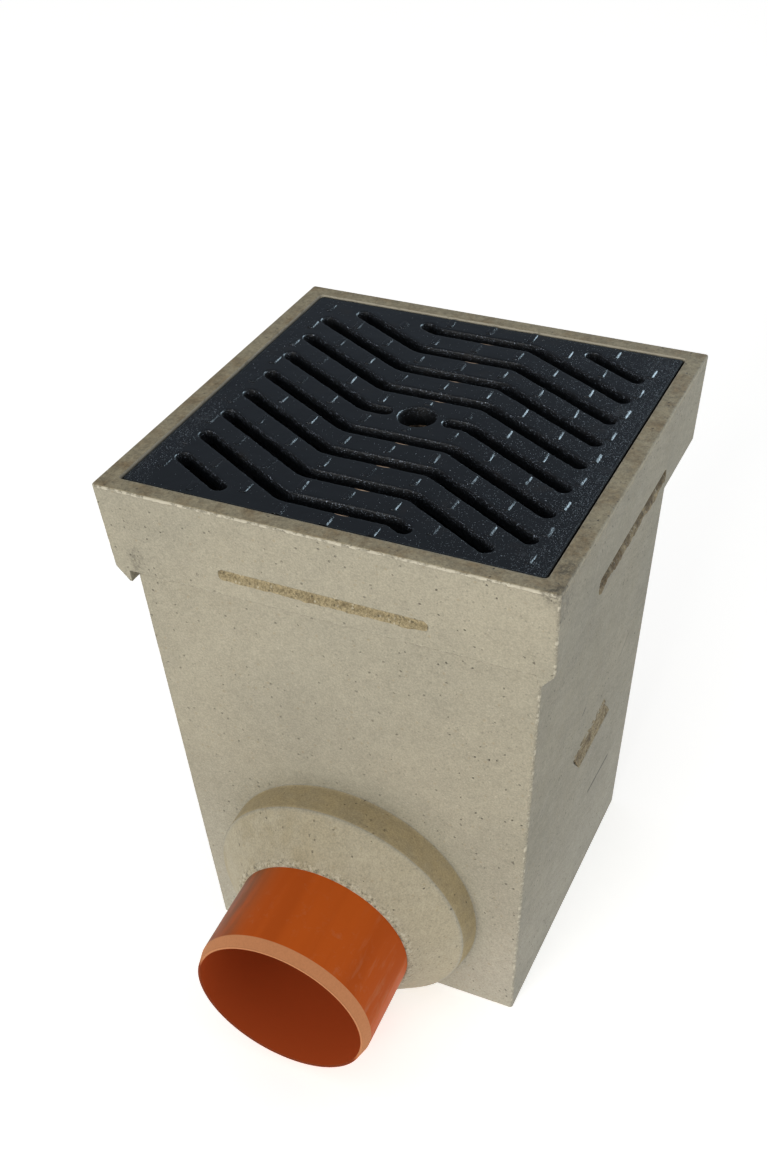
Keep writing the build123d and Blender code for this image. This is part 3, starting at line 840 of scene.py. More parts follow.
@dataclass(frozen=True)
class BitumenIron:
    """Cast iron dipped in black bitumen: glossy, slightly lumpy, with sand caught along the side margins, and
    painted glints and highlights on grains, slot walls, slot edges and the lifting hole.
    """

    black: Colour = (0.0075, 0.0085, 0.0100)
    brown: Colour = (0.022, 0.017, 0.013)
    # Pale bluish grains: real sand, coloured also as the glints it catches, which is painted highlight.
    sand: Colour = (0.32, 0.37, 0.43)
    # Colour of painted glints on the slot walls.
    painted_glint_colour: Colour = (0.62, 0.72, 0.88)
    # Light copper tone of painted highlights on the slot edges and in the lifting hole.
    painted_copper_light: Colour = (0.60, 0.42, 0.28)
    slot_pitch: float = 29.0 * MM
    slot_edge: float = 5.8 * MM

    def material(self, half: float) -> bpy.types.Material:
        """Build the grate's material.

        Args:
            half: Half of the plate's side in metres.

        Returns:
            The material.
        """
        bench = Bench("black_iron")
        _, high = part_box("grate")
        film = bench.noise(0.02, 3.0, 0.6, seed=2.0)
        colour = bench.mix(bench.step(film, 0.55, 0.8, (0.0, 0.5)), self.black, self.brown)
        wave = bench.product(film, 0.016)
        right = bench.step(bench.total(bench.x, wave), half - 0.026, half - 0.002)
        left = bench.step(bench.total(bench.product(bench.x, -1.0), wave), half - 0.012, half - 0.002)
        left = bench.product(left, bench.step(bench.y, -0.010, -0.050, (0.10, 0.9)))
        margin = bench.math("MAXIMUM", right, left)
        strewn = bench.step(bench.x, 0.000, 0.110, (0.03, 0.40))
        flat = bench.step(bench.nz, 0.3, 0.8)
        # Mask of the marks' slopes, where grains break up the glints: painted highlight.
        glint_grains_on_marks = bench.product(
            bench.step(bench.nz, 0.998, 0.96), bench.step(bench.z, high.z - 0.0012, high.z - 0.0006)
        )
        crowd = bench.math("MAXIMUM", bench.math("MAXIMUM", margin, strewn), glint_grains_on_marks)
        small = self.strewn_grains(bench, 0.00085, 0.00020, 0.90, 3.1, crowd)
        large = self.strewn_grains(bench, 0.0021, 0.00034, 0.22, 5.7, crowd)
        grains = bench.product(bench.math("MAXIMUM", small, large), flat)
        # Sand grains in the pale bluish tone: real sand that also carries painted glints.
        colour = bench.mix(bench.product(grains, 0.75), colour, self.sand)
        # Painted highlights on the slots' near edges and in the lifting hole.
        colour = bench.mix(self.painted_highlight_crescents(bench, half), colour, self.painted_copper_light)
        colour = bench.mix(self.hole_painted_light(bench, high.z), colour, self.painted_copper_light)
        steep = bench.step(bench.nz, 0.88, 0.45)
        shallow = bench.step(bench.z, high.z - 0.0075, high.z - 0.0015, (0.15, 1.0))
        outwards = bench.math("MAXIMUM", bench.math("ABSOLUTE", bench.x), bench.math("ABSOLUTE", bench.y))
        outline = bench.step(outwards,
                             half - 0.0016, half - 0.0010)
        # Painted glints on the steep slot walls near the top.
        painted_glints = bench.product(steep, shallow,
            bench.step(bench.noise(0.0008, 2.0, 0.75, seed=9.0), 0.61, 0.66),
                                bench.math("SUBTRACT", 1.0, outline))
        colour = bench.mix(bench.product(painted_glints, 0.90), colour, self.painted_glint_colour)
        skin = bench.noise(0.0011, 2.0, 0.6, seed=4.0)
        sags = bench.noise(0.007, 2.0, 0.5, seed=6.0)
        height = bench.total(
            bench.product(skin, bench.total(bench.product(margin, 0.08), bench.product(steep, 0.45), 0.016)),
            bench.product(bench.noise(0.0016, 2.0, 0.6, seed=7.0), bench.step(bench.nz, 0.995, 0.96), 0.30),
            bench.product(grains, 0.35),
            bench.product(sags, 0.16),
        )
        roughness = bench.total(bench.step(film, 0.3, 0.7, (0.16, 0.26)), bench.product(crowd, 0.03),
                                bench.product(grains, 0.3), bench.product(outline, 0.8),
                                bench.product(steep, 0.25))
        return bench.dress(colour, roughness, bench.bump(height), Specular_IOR_Level=0.5)

    def painted_highlight_crescents(self, bench: Bench, half: float) -> Socket:
        """Painted highlight on the near edge of each slot, where the stiffener crosses under it.

        The distance across is the point's y, wrapped at the slots' pitch, less the place of the slot's edge.
        The mark is a lens: its half width falls with the square of the distance from its middle.

        Args:
            bench: The material's tree.
            half: Half the plate's width.

        Returns:
            Mask of the painted highlight.
        """
        middle, reach, thick, soft = 4.7 * MM, 5.5 * MM, 0.9 * MM, 0.25 * MM
        frame_margin, hole_margin = 0.012, 0.016
        half_pitch = self.slot_pitch / 2
        across = bench.math("WRAP", bench.total(bench.y, self.slot_edge), half_pitch, -half_pitch)
        shift = bench.product(bench.math("SUBTRACT", bench.x, middle), 1 / reach)
        width = bench.product(bench.math("SUBTRACT", 1.0, bench.product(shift, shift)), thick)
        over = bench.math("SUBTRACT", width, bench.math("ABSOLUTE", across))
        within = bench.math("LESS_THAN", bench.math("ABSOLUTE", bench.y), half - frame_margin)
        off_hole = bench.math("GREATER_THAN", bench.math("ABSOLUTE", bench.y), hole_margin)
        return bench.product(bench.step(over, 0.0, soft), within, off_hole, bench.step(bench.nz, 0.1, 0.3))

    def hole_painted_light(self, bench: Bench, top: float) -> Socket:
        """Painted light low on the far wall of the lifting hole: a faint painted lit band with a painted
        highlight along its upper edge.

        Args:
            bench: The material's tree.
            top: Level of the plate's top.

        Returns:
            Mask of the band.
        """
        hole_reach, near_side, far_side = 0.0138, 0.004, 0.009
        square = bench.total(bench.product(bench.x, bench.x), bench.product(bench.y, bench.y))
        in_hole = bench.math("LESS_THAN", square, hole_reach ** 2)
        wall = bench.product(in_hole, bench.step(bench.y, near_side, far_side))
        edge_foot = bench.step(bench.z, top - 0.0158, top - 0.0150)
        edge_head = bench.step(bench.z, top - 0.0140, top - 0.0147)
        edge = bench.product(edge_foot, edge_head)
        band_foot = bench.step(bench.z, top - 0.0200, top - 0.0160)
        band_head = bench.step(bench.z, top - 0.0145, top - 0.0152)
        band = bench.product(band_foot, band_head, 0.12)
        dots = bench.step(bench.noise(0.002, 2.0, seed=61.0), 0.42, 0.55, (0.15, 0.9))
        return bench.product(wall, bench.math("MAXIMUM", bench.product(edge, dots), band))

    def side_wall(self) -> bpy.types.Material:
        """Build the dull black material of the plate's outer side walls, which stand in the dark gap.

        Returns:
            The material.
        """
        bench = Bench("black_iron_side")
        film = bench.noise(0.004, 3.0, 0.6, seed=2.0)
        colour = bench.mix(bench.step(film, 0.4, 0.7), self.black, self.brown)
        return bench.dress(colour, bench.step(film, 0.3, 0.7, (0.85, 1.0)),
            bench.bump(bench.product(film, 0.2)),
                           Specular_IOR_Level=0.0)

    def strewn_grains(
        self, bench: Bench, cell: float, width: float, share: float, seed: float, crowd: Socket
    ) -> Socket:
        """Mask of sand grains that lie more thickly where the crowd value is high.

        Args:
            bench: The material's tree.
            cell: Size of a cell in metres.
            width: Radius of a grain in metres.
            share: Share of the cells that hold a grain where they lie thickest.
            seed: Shift into another part of the pattern.
            crowd: How thickly the grains lie, from 0 to 1.

        Returns:
            Mask that is one on the grains.
        """
        grains, lot = bench.scatter(cell, width, seed)
        return bench.product(grains, bench.math("LESS_THAN", lot, bench.product(crowd, share)))


@dataclass(frozen=True)
class Moulded:
    """Moulded plastic or rubber with a fine spark eroded skin."""

    name: str
    base: Colour
    worn: Colour
    roughness: float
    skin: float = 0.0008
    depth: float = 0.03

    def material(self) -> bpy.types.Material:
        """Build the material.

        Returns:
            The material.
        """
        bench = Bench(self.name)
        cloud = bench.noise(0.05, 3.0, 0.6, seed=2.0)
        colour = bench.mix(bench.step(cloud, 0.35, 0.7), self.base, self.worn)
        edge, rounded = bench.edges(0.0008)
        scuff = bench.product(edge, bench.step(bench.noise(0.004, 3.0, seed=7.0), 0.4, 0.6))
        colour = bench.mix(bench.product(scuff, 0.35), colour, self.worn)
        fine = bench.noise(self.skin, 2.0, 0.5, seed=4.0)
        flow = bench.noise(0.02, 2.0, 0.5, seed=9.0)
        roughness = bench.step(flow, 0.3, 0.7, (self.roughness - 0.06, self.roughness + 0.08))
        height = bench.total(bench.product(fine, self.depth), bench.product(flow, 0.08))
        return bench.dress(colour, roughness, bench.bump(height, 1.0, rounded), Specular_IOR_Level=0.5)


@dataclass(frozen=True)
class ZincWire:
    """Galvanised wire with drawn lines and dull patches."""

    bright: Colour = (0.60, 0.61, 0.62)
    dull: Colour = (0.36, 0.37, 0.38)

    def material(self) -> bpy.types.Material:
        """Build the material.

        Returns:
            The material.
        """
        bench = Bench("zinc_wire")
        patches = bench.noise(0.006, 3.0, 0.6, seed=3.0)
        colour = bench.mix(bench.step(patches, 0.35, 0.65), self.bright, self.dull)
        roughness = bench.step(patches, 0.3, 0.7, (0.28, 0.5))
        height = bench.product(bench.noise(0.0015, 2.0, seed=5.0), 0.03)
        return bench.dress(colour, roughness, bench.bump(height), Metallic=1.0)


def value_noise(points: Points, cell: float, seed: int) -> Points:
    """Smooth random values between -1 and 1 at points.

    Random numbers stand on a cubic lattice of the given cell, and each point blends the eight around it by
    the smooth step 3 t squared less 2 t cubed along each axis.

    Args:
        points: Points in metres, one a row.
        cell: Side of a lattice cell in metres.
        seed: Seed of the random numbers.

    Returns:
        One value for each point.
    """
    count = 32
    lattice = np.random.default_rng(seed).uniform(-1.0, 1.0, (count, count, count))
    place = points / cell
    base = np.floor(place).astype(int)
    part = place - base
    part = part * part * (3.0 - 2.0 * part)
    result = np.zeros(len(points))
    for corner in itertools.product((0, 1), repeat=3):
        index = (base + corner) % count
        weight = np.prod(np.where(corner, part, 1.0 - part), axis=1)
        result += weight * lattice[index[:, 0], index[:, 1], index[:, 2]]
    return result


def make_piece(
    name: str, points: Points, quads: Points, body: Body, angle: float = 35.0
) -> bpy.types.Object:
    """Make an object from points and four cornered faces, and let it ride on a body.

    Args:
        name: Name of the piece.
        points: Points in metres, one a row.
        quads: Indices of each face's corners, one face a row, counter clockwise from outside.
        body: Body that it rides on.
        angle: Edges sharper than this many degrees stay crisp.

    Returns:
        The new object.
    """
    mesh = bpy.data.meshes.new(name)
    mesh.vertices.add(len(points))
    mesh.vertices.foreach_set("co", points.astype(np.float32).ravel())
    mesh.loops.add(quads.size)
    mesh.loops.foreach_set("vertex_index", quads.astype(np.int32).ravel())
    mesh.polygons.add(len(quads))
    mesh.polygons.foreach_set("loop_start", np.arange(0, quads.size, quads.shape[1], dtype=np.int32))
    mesh.update(calc_edges=True)
    mesh.validate()
    mesh.polygons.foreach_set("use_smooth", np.ones(len(mesh.polygons), dtype=bool))
    mesh.set_sharp_from_angle(angle=math.radians(angle))
    piece = bpy.data.objects.new(name, mesh)
    bpy.context.scene.collection.objects.link(piece)
    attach(piece, body.value)
    return piece


def grid_faces(shape: tuple[int, int]) -> Points:
    """Four cornered faces of a grid of points, row by row.

    Args:
        shape: Rows and columns of the points.

    Returns:
        The faces, as four point numbers each.
    """
    number = np.arange(shape[0] * shape[1]).reshape(shape)
    corners = (number[:-1, :-1], number[:-1, 1:], number[1:, 1:], number[1:, :-1])
    return np.column_stack([corner.ravel() for corner in corners])


def paint(piece: bpy.types.Object, material: bpy.types.Material) -> None:
    """Give a piece one material."""
    piece.data.materials.clear()
    piece.data.materials.append(material)


@dataclass
class WaveGrate:
    """Cast grate with bent slots, worked out on a fine grid over the plate.

    The plate's top is a height over x and y. Its outline at the slots, the lifting hole and the outer edge is
    a level line of one signed distance, on which the grid's rim points are placed. From there a quarter round
    and a wall are carried down along the outline.
    """

    cell: float = 30.5 / 20 * MM
    edge: float = 1.3 * MM
    outer_edge: float = 0.3 * MM
    corner: float = 2.5 * MM
    thickness: float = 10.0 * MM
    frame_width: float = 11.0 * MM
    slot_radius: float = 5.0 * MM
    slot_pitch: float = 29.0 * MM
    slot_bend: float = 36.0 * MM
    side_margin: float = 21.5 * MM
    front_margin: float = 15.5 * MM
    slot_slope: float = math.tan(math.radians(30.0))
    hole_gap: float = 22.8 * MM
    hole_radius: float = 12.6 * MM
    ring_width: float = 6.0 * MM
    bend_radius: float = 18.0 * MM
    mark_pitch: float = 30.5 * MM
    mark_width: float = 5.6 * MM
    mark_length: float = 12.0 * MM
    mark_height: float = 0.9 * MM
    mark_margin: float = 5.5 * MM
    mark_sunk: float = 0.35 * MM
    mark_chamfer: float = 1.6 * MM
    rib_width: float = 11.0 * MM
    rib_drop: float = 6.3 * MM
    wall_steps: int = 4

    def __post_init__(self) -> None:
        """Take the plate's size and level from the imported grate."""
        low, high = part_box("grate")
        self.half = high.x
        self.seat = low.z
        self.top = high.z - self.mark_height
        self.slot_end = self.half - self.side_margin
        self.bend_lead = self.bend_radius * math.tan(math.atan(self.slot_slope) / 2)
        self.slot_limit = self.half - self.front_margin

    def slot_lines(self) -> list[tuple[float, float, float, float]]:
        """Straight stretches of the slots' middle lines, cut off at the front and back margins.

        Each row is three stretches with two bends. Beside a bend a stretch is shorter by the tangent length
        of the bend's arc.

        Returns:
            Start and end of each stretch.
        """
        rise = (self.slot_end - self.slot_bend) * self.slot_slope
        lead = self.bend_lead
        lean = math.atan(self.slot_slope)
        near = Vector((lead * math.cos(lean), lead * math.sin(lean)))
        rows = int((self.slot_limit + rise) // self.slot_pitch)
        result = []
        for row in range(-rows, rows + 1):
            middle = row * self.slot_pitch
            inner = self.hole_gap if row == 0 else 0.0
            for side in (-1.0, 1.0):
                if abs(middle) <= self.slot_limit:
                    result.append((side * inner, middle, side * (self.slot_bend - lead), middle))
                x0, y0 = side * (self.slot_bend + near.x), middle - side * near.y
                x1, y1 = side * self.slot_end, middle - side * rise
                if min(y0, y1) > self.slot_limit or max(y0, y1) < -self.slot_limit:
                    continue
                ends = [max(-self.slot_limit, min(self.slot_limit, y)) for y in (y0, y1)]
                xs = [x0 + (x1 - x0) * (y - y0) / (y1 - y0) for y in ends]
                result.append((xs[0], ends[0], xs[1], ends[1]))
        return result

    def bend_arcs(self) -> list[tuple[float, float, float]]:
        """Arcs of the slots' bends that lie within the margins.

        Returns:
            Centre of each arc, and the side of the plate that it is on.
        """
        rows = int(self.slot_limit // self.slot_pitch)
        return [
            (side * (self.slot_bend - self.bend_lead), row * self.slot_pitch - side * self.bend_radius, side)
            for row in range(-rows, rows + 1)
            for side in (-1.0, 1.0)
        ]

    def opening_distance(self, x: Points, y: Points) -> Points:
        """Distance to the nearest slot or the lifting hole, negative inside it.

        A straight stretch is the distance to a line piece less the slot's half width. An arc counts only
        between the directions of its two ends, where it is the difference between the distance from its
        centre and its radius, less the half width. The nearest of all counts.

        Args:
            x: Coordinates to the right.
            y: Coordinates to the back.

        Returns:
            The distances in metres.
        """
        best = np.hypot(x, y) - self.hole_radius
        for x0, y0, x1, y1 in self.slot_lines():
            run = np.array([x1 - x0, y1 - y0])
            share = np.clip(((x - x0) * run[0] + (y - y0) * run[1]) / (run @ run), 0.0, 1.0)
            best = np.minimum(
                best, np.hypot(x - x0 - share * run[0], y - y0 - share * run[1]) - self.slot_radius
            )
        lean = math.atan(self.slot_slope)
        for cx, cy, side in self.bend_arcs():
            dx, dy = side * (x - cx), side * (y - cy)
            turn = np.arctan2(dx, dy)
            near = np.abs(np.hypot(dx, dy) - self.bend_radius) - self.slot_radius
            best = np.where((turn > 0.0) & (turn < lean), np.minimum(best, near), best)
        return best

    def outer_distance(self, x: Points, y: Points) -> Points:
        """Distance inwards from the plate's rounded square outline.

        Args:
            x: Places along x.
            y: Places along y.

        Returns:
            The distances.
        """
        qx = np.abs(x) - (self.half - self.corner)
        qy = np.abs(y) - (self.half - self.corner)
        outside = np.hypot(np.maximum(qx, 0.0), np.maximum(qy, 0.0))
        return self.corner - outside - np.minimum(np.maximum(qx, qy), 0.0)

    def inset(self, x: Points, y: Points) -> Points:
        """Distance into the metal from the line where the edge's rounding starts."""
        return np.minimum(self.opening_distance(x, y), self.outer_distance(x, y)) - self.edge

    def slope_of_inset(self, x: Points, y: Points) -> tuple[Points, Points]:
        """Unit direction in which the inset grows fastest, from central differences.

        Args:
            x: Places along x.
            y: Places along y.

        Returns:
            The direction's x and y.
        """
        small = 0.05 * MM
        gx = self.inset(x + small, y) - self.inset(x - small, y)
        gy = self.inset(x, y + small) - self.inset(x, y - small)
        size = np.maximum(np.hypot(gx, gy), 1e-12)
        return gx / size, gy / size

    def mark_places(self) -> list[tuple[float, float, float]]:
        """Grip marks: columns a pitch apart, in the middle of the bars, and short ones beside the lifting
        hole.

        Returns:
            Middle of each mark and the share of the full length that it has room for.
        """
        columns = int((self.half - 12.0 * MM) // self.mark_pitch)
        places = []
        for column in range(-columns, columns + 1):
            x = column * self.mark_pitch
            drop = math.copysign(max(abs(x) - self.slot_bend, 0.0) * self.slot_slope, x)
            reach = int((self.half + abs(drop)) // self.slot_pitch) + 1
            middles = [(row + 0.5) * self.slot_pitch - drop for row in range(-reach, reach)]
            for y in middles:
                if abs(y) > self.half - self.mark_margin:
                    continue
                reach_in = abs(y) - self.mark_length / 2 if column == 0 else self.half
                short = max(self.hole_radius + 2 * self.edge - reach_in, 0.0)
                places.append((x, y + math.copysign(short / 2, y), 1.0 - short / self.mark_length))
        return places

    def grip_marks(self) -> tuple[Points, Points]:
        """All the grip marks, each a closed pad that is sunk a little into the plate.

        A pad is a grid over -1 to 1 each way, drawn in at its corners. Its height is the product of a round
        rise from the left, a straight chamfer from the right and a round rise from both ends.

        Returns:
            Points and faces.
        """
        across = np.array([-1.0, -0.97, -0.90, -0.78, -0.55, -0.20, 0.15, 0.45, 0.62, 0.80, 0.96, 1.0])
        along = np.array([-1.0, -0.985, -0.95, -0.88, -0.70, -0.35, 0.0, 0.35, 0.70, 0.88, 0.95, 0.985, 1.0])
        places = np.array(self.mark_places())
        lots = np.random.default_rng(11).uniform(0.0, 1.0, (len(places), 5))
        a, b = (grid.ravel()[None, :] for grid in np.meshgrid(across, along, indexing="ij"))
        width = self.mark_width / 2 * (0.86 + 0.22 * lots[:, :1])
        length = self.mark_length / 2 * (0.80 + 0.26 * lots[:, 1:2]) * places[:, 2:]
        lean = 0.10 * (lots[:, 2:3] - 0.5)
        u = width * a * (1.0 - 0.16 * b ** 6)
        v = length * b * (1.0 - 0.07 * a ** 6)
        left = np.clip((u + width) / (0.55 * MM), 0.0, 1.0)
        twist = 1.0 + 0.7 * (lots[:, :1] - 0.5) + (lots[:, 1:2] - 0.5) * 1.6 * b
        right = np.clip((width - u) / (self.mark_chamfer * (0.50 + 0.80 * lots[:, 4:5]) * twist), 0.0, 1.0)
        ends = np.clip((length - np.abs(v)) / (0.9 * MM), 0.0, 1.0)
        rise = np.sqrt(1.0 - (1.0 - left) ** 2) * right * np.sqrt(1.0 - (1.0 - ends) ** 2)
        tall = self.mark_height * (0.62 + 0.30 * lots[:, 3:4]) * (
            1.0 + 0.35 * (lots[:, 2:3] - 0.5) * v / self.mark_length
        )
        border = (np.abs(a) == 1.0) | (np.abs(b) == 1.0)
        z = self.top + np.where(border, -self.mark_sunk, -0.05 * MM + tall * rise)
        x = places[:, :1] + u + lean * v
        y = places[:, 1:2] + v
        points = np.column_stack((x.ravel(), y.ravel(), np.broadcast_to(z, x.shape).ravel()))
        points[:, 2] += 0.09 * MM * value_noise(points, 2.0 * MM, 12) + 0.08 * MM * value_noise(
            points, 1.0 * MM, 13
        )
        number = np.arange(len(across) * len(along)).reshape(len(across), len(along))
        top = np.column_stack((number[:-1, :-1].ravel(), number[1:, :-1].ravel(),
                               number[1:, 1:].ravel(), number[:-1, 1:].ravel()))
        ring = np.concatenate((number[:, 0], number[-1, 1:], number[-2::-1, -1], number[0, -2:0:-1]))
        foot = np.full(len(ring), number.size)
        under = np.column_stack((np.roll(ring, -1), ring, foot, foot))
        poles = np.column_stack((places[:, :2], np.full(len(places), self.top - self.mark_sunk)))
        faces = []
        for mark in range(len(places)):
            start = mark * number.size
            faces.append(start + top)
            bottom = start + under
            bottom[:, 2:] = len(points) + mark
            faces.append(bottom)
        return np.vstack((points, poles)), np.vstack(faces)

    def top_height(self, x: Points, y: Points) -> Points:
        """Level of the plate's top: flat, with soft lumps, and grit along the side margins.

        Args:
            x: Places along x.
            y: Places along y.

        Returns:
            The levels.
        """
        points = np.column_stack((x, y, np.zeros_like(x)))
        lumps = 0.10 * MM * value_noise(points, 11 * MM, 3) + 0.04 * MM * value_noise(points, 3.1 * MM, 4)
        wave = 3 * MM * value_noise(points, 15 * MM, 6)
        margin = np.clip((np.abs(x) + wave - (self.half - 11 * MM)) / (4 * MM), 0.0, 1.0)
        grit = 0.12 * MM * value_noise(points, 1.7 * MM, 5)
        return self.top + lumps + margin * grit

    def under_height(self, x: Points, y: Points) -> Points:
        """Level of the underside: the plate, the deep frame round it and the ring round the lifting hole.

        Args:
            x: Places along x.
            y: Places along y.

        Returns:
            The levels.
        """
        deep = self.outer_distance(x, y) < self.frame_width
        ring = np.hypot(x, y) < self.hole_radius + self.ring_width
        return np.where(deep | ring, self.seat, self.top - self.thickness)

    def build(self, finish: BitumenIron) -> bpy.types.Object:
        """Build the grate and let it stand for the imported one.

        Args:
            finish: Its finish.

        Returns:
            The new object.
        """
        points, quads = self.plate()
        gap = self.hole_radius + self.ring_width / 2
        reach = self.half - self.frame_width / 2
        for more_points, more_quads in (self.rib(-reach, -gap), self.rib(gap, reach), self.grip_marks()):
            quads = np.vstack((quads, more_quads + len(points)))
            points = np.vstack((points, more_points))
        piece = make_piece("grate_cast", points, quads, Body.GULLY, 32.0)
        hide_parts("grate")
        paint(piece, finish.material(self.half))
        self.paint_side_walls(piece, finish)
        return piece

    def paint_side_walls(self, piece: bpy.types.Object, finish: BitumenIron) -> None:
        """Give the plate's outer side walls their own dull black.

        Args:
            piece: The grate.
            finish: Its finish.
        """
        faces = piece.data.polygons
        centres, normals = np.empty(3 * len(faces), np.float32), np.empty(3 * len(faces), np.float32)
        faces.foreach_get("center", centres)
        faces.foreach_get("normal", normals)
        x, y, _ = centres.reshape(-1, 3).T
        walls = (self.outer_distance(x, y) < self.outer_edge) & (np.abs(normals[2::3]) < 0.9)
        piece.data.materials.append(finish.side_wall())
        faces.foreach_set("material_index", walls.astype(np.int32))

    def plate(self) -> tuple[Points, Points]:
        """Points and faces of the plate with its walls and underside.

        Returns:
            The points and the faces.
        """
        count = 2 * math.ceil(self.half / self.cell)
        line = (np.arange(count + 1) - count / 2) * self.cell
        gx, gy = np.meshgrid(line, line, indexing="ij")
        mid = line[:-1] + self.cell / 2
        mx, my = np.meshgrid(mid, mid, indexing="ij")
        kept = self.inset(mx, my) > 0.0
        number = np.arange((count + 1) ** 2).reshape(count + 1, count + 1)
        i, j = np.nonzero(kept)
        top = np.column_stack((number[i, j], number[i + 1, j], number[i + 1, j + 1], number[i, j + 1]))
        padded = np.pad(kept, 1)
        sides = (
            (padded[1:-1, :-2], (0, 0), (1, 0)),
            (padded[2:, 1:-1], (1, 0), (1, 1)),
            (padded[1:-1, 2:], (1, 1), (0, 1)),
            (padded[:-2, 1:-1], (0, 1), (0, 0)),
        )
        rim = []
        for beside, start, end in sides:
            i, j = np.nonzero(kept & ~beside)
            rim.append(np.column_stack((number[i + start[0], j + start[1]], number[i + end[0], j + end[1]])))
        rim = np.vstack(rim)
        x, y = gx.ravel(), gy.ravel()
        x, y = self.fit_to_outline(x, y, rim, top)
        used = np.unique(top)
        fresh = np.full(len(x), -1)
        fresh[used] = np.arange(len(used))
        x, y, top, rim = x[used], y[used], fresh[top], fresh[rim]
        return self.shell(x, y, top, rim)

    def fit_to_outline(self, x: Points, y: Points, rim: Points, top: Points) -> tuple[Points, Points]:
        """Put the rim's points on the outline, even them out along it and relax the cells beside it.

        Args:
            x: Coordinates of all grid points.
            y: Coordinates of all grid points.
            rim: Directed edges of the outline as pairs of point numbers.
            top: Faces of the top.

        Returns:
            The moved coordinates.
        """
        x, y = x.copy(), y.copy()
        on_rim = np.unique(rim)
        after = np.full(len(x), -1)
        before = np.full(len(x), -1)
        after[rim[:, 0]] = rim[:, 1]
        before[rim[:, 1]] = rim[:, 0]
        pairs = np.vstack((top[:, [0, 1]], top[:, [1, 2]], top[:, [2, 3]], top[:, [3, 0]]))
        pairs = np.vstack((pairs, pairs[:, ::-1]))
        degree = np.maximum(np.bincount(pairs[:, 0], minlength=len(x)), 1)
        used = np.unique(top)
        inner = used[~np.isin(used, on_rim)]
        for turn in range(8):
            for _ in range(2):
                depth = self.inset(x[on_rim], y[on_rim])
                dx, dy = self.slope_of_inset(x[on_rim], y[on_rim])
                x[on_rim] -= depth * dx
                y[on_rim] -= depth * dy
            if turn < 7:
                x[on_rim] = 0.5 * x[on_rim] + 0.25 * (x[after[on_rim]] + x[before[on_rim]])
                y[on_rim] = 0.5 * y[on_rim] + 0.25 * (y[after[on_rim]] + y[before[on_rim]])
            near = np.clip(1.0 - self.inset(x[inner], y[inner]) / (3 * self.cell), 0.0, 0.6)
            mean_x = np.bincount(pairs[:, 0], x[pairs[:, 1]], len(x)) / degree
            mean_y = np.bincount(pairs[:, 0], y[pairs[:, 1]], len(x)) / degree
            x[inner] += near * (mean_x[inner] - x[inner])
            y[inner] += near * (mean_y[inner] - y[inner])
        return x, y

    def shell(self, x: Points, y: Points, top: Points, rim: Points) -> tuple[Points, Points]:
        """Add the edge's rounding, the walls and the underside to the top.

        Args:
            x: Coordinates of the top's points.
            y: Coordinates of the top's points.
            top: Faces of the top.
            rim: Directed edges of the outline.

        Returns:
            Points and faces of the closed plate.
        """
        count = len(x)
        level = self.top_height(x, y)
        on_rim = np.unique(rim)
        place = np.full(count, -1)
        place[on_rim] = np.arange(len(on_rim))
        rx, ry, rz = x[on_rim], y[on_rim], level[on_rim]
        dx, dy = self.slope_of_inset(rx, ry)
        hole = np.abs(np.hypot(rx, ry) - self.hole_radius - self.edge) < self.edge
        outer = self.outer_distance(rx, ry) < 2 * self.edge
        foot = np.where(hole | outer, self.seat, self.top - self.thickness)
        rows = []
        small = np.where(outer, self.outer_edge, self.edge)
        for angle in np.radians([22.5, 45.0, 67.5, 90.0]):
            out = self.edge - small + small * math.sin(angle)
            rows.append((out, rz - small * (1.0 - math.cos(angle))))
        start = rz - small
        for step in range(1, self.wall_steps + 1):
            rows.append((self.edge, start + (foot - start) * step / self.wall_steps))
        points = [np.column_stack((x, y, level))]
        for out, z in rows:
            row = np.column_stack((rx - out * dx, ry - out * dy, z))
            shift = 0.18 * MM * (value_noise(row, 2.3 * MM, 8) + value_noise(row, 1.3 * MM, 10)) * ~outer
            row[:, 0] -= shift * dx
            row[:, 1] -= shift * dy
            points.append(row)
        under = count + len(rows) * len(on_rim)
        below = self.under_height(x, y)
        below[on_rim] = foot
        points.append(np.column_stack((x, y, below)))
        faces = [top]
        start_index, end_index = place[rim[:, 0]], place[rim[:, 1]]
        upper = (rim[:, 0], rim[:, 1])
        for number in range(len(rows)):
            base = count + number * len(on_rim)
            lower = (base + start_index, base + end_index)
            faces.append(np.column_stack((upper[1], upper[0], lower[0], lower[1])))
            upper = lower
        lower = (under + rim[:, 0], under + rim[:, 1])
        faces.append(np.column_stack((upper[1], upper[0], lower[0], lower[1])))
        faces.append(under + top[:, ::-1])
        return np.vstack(points), np.vstack(faces)

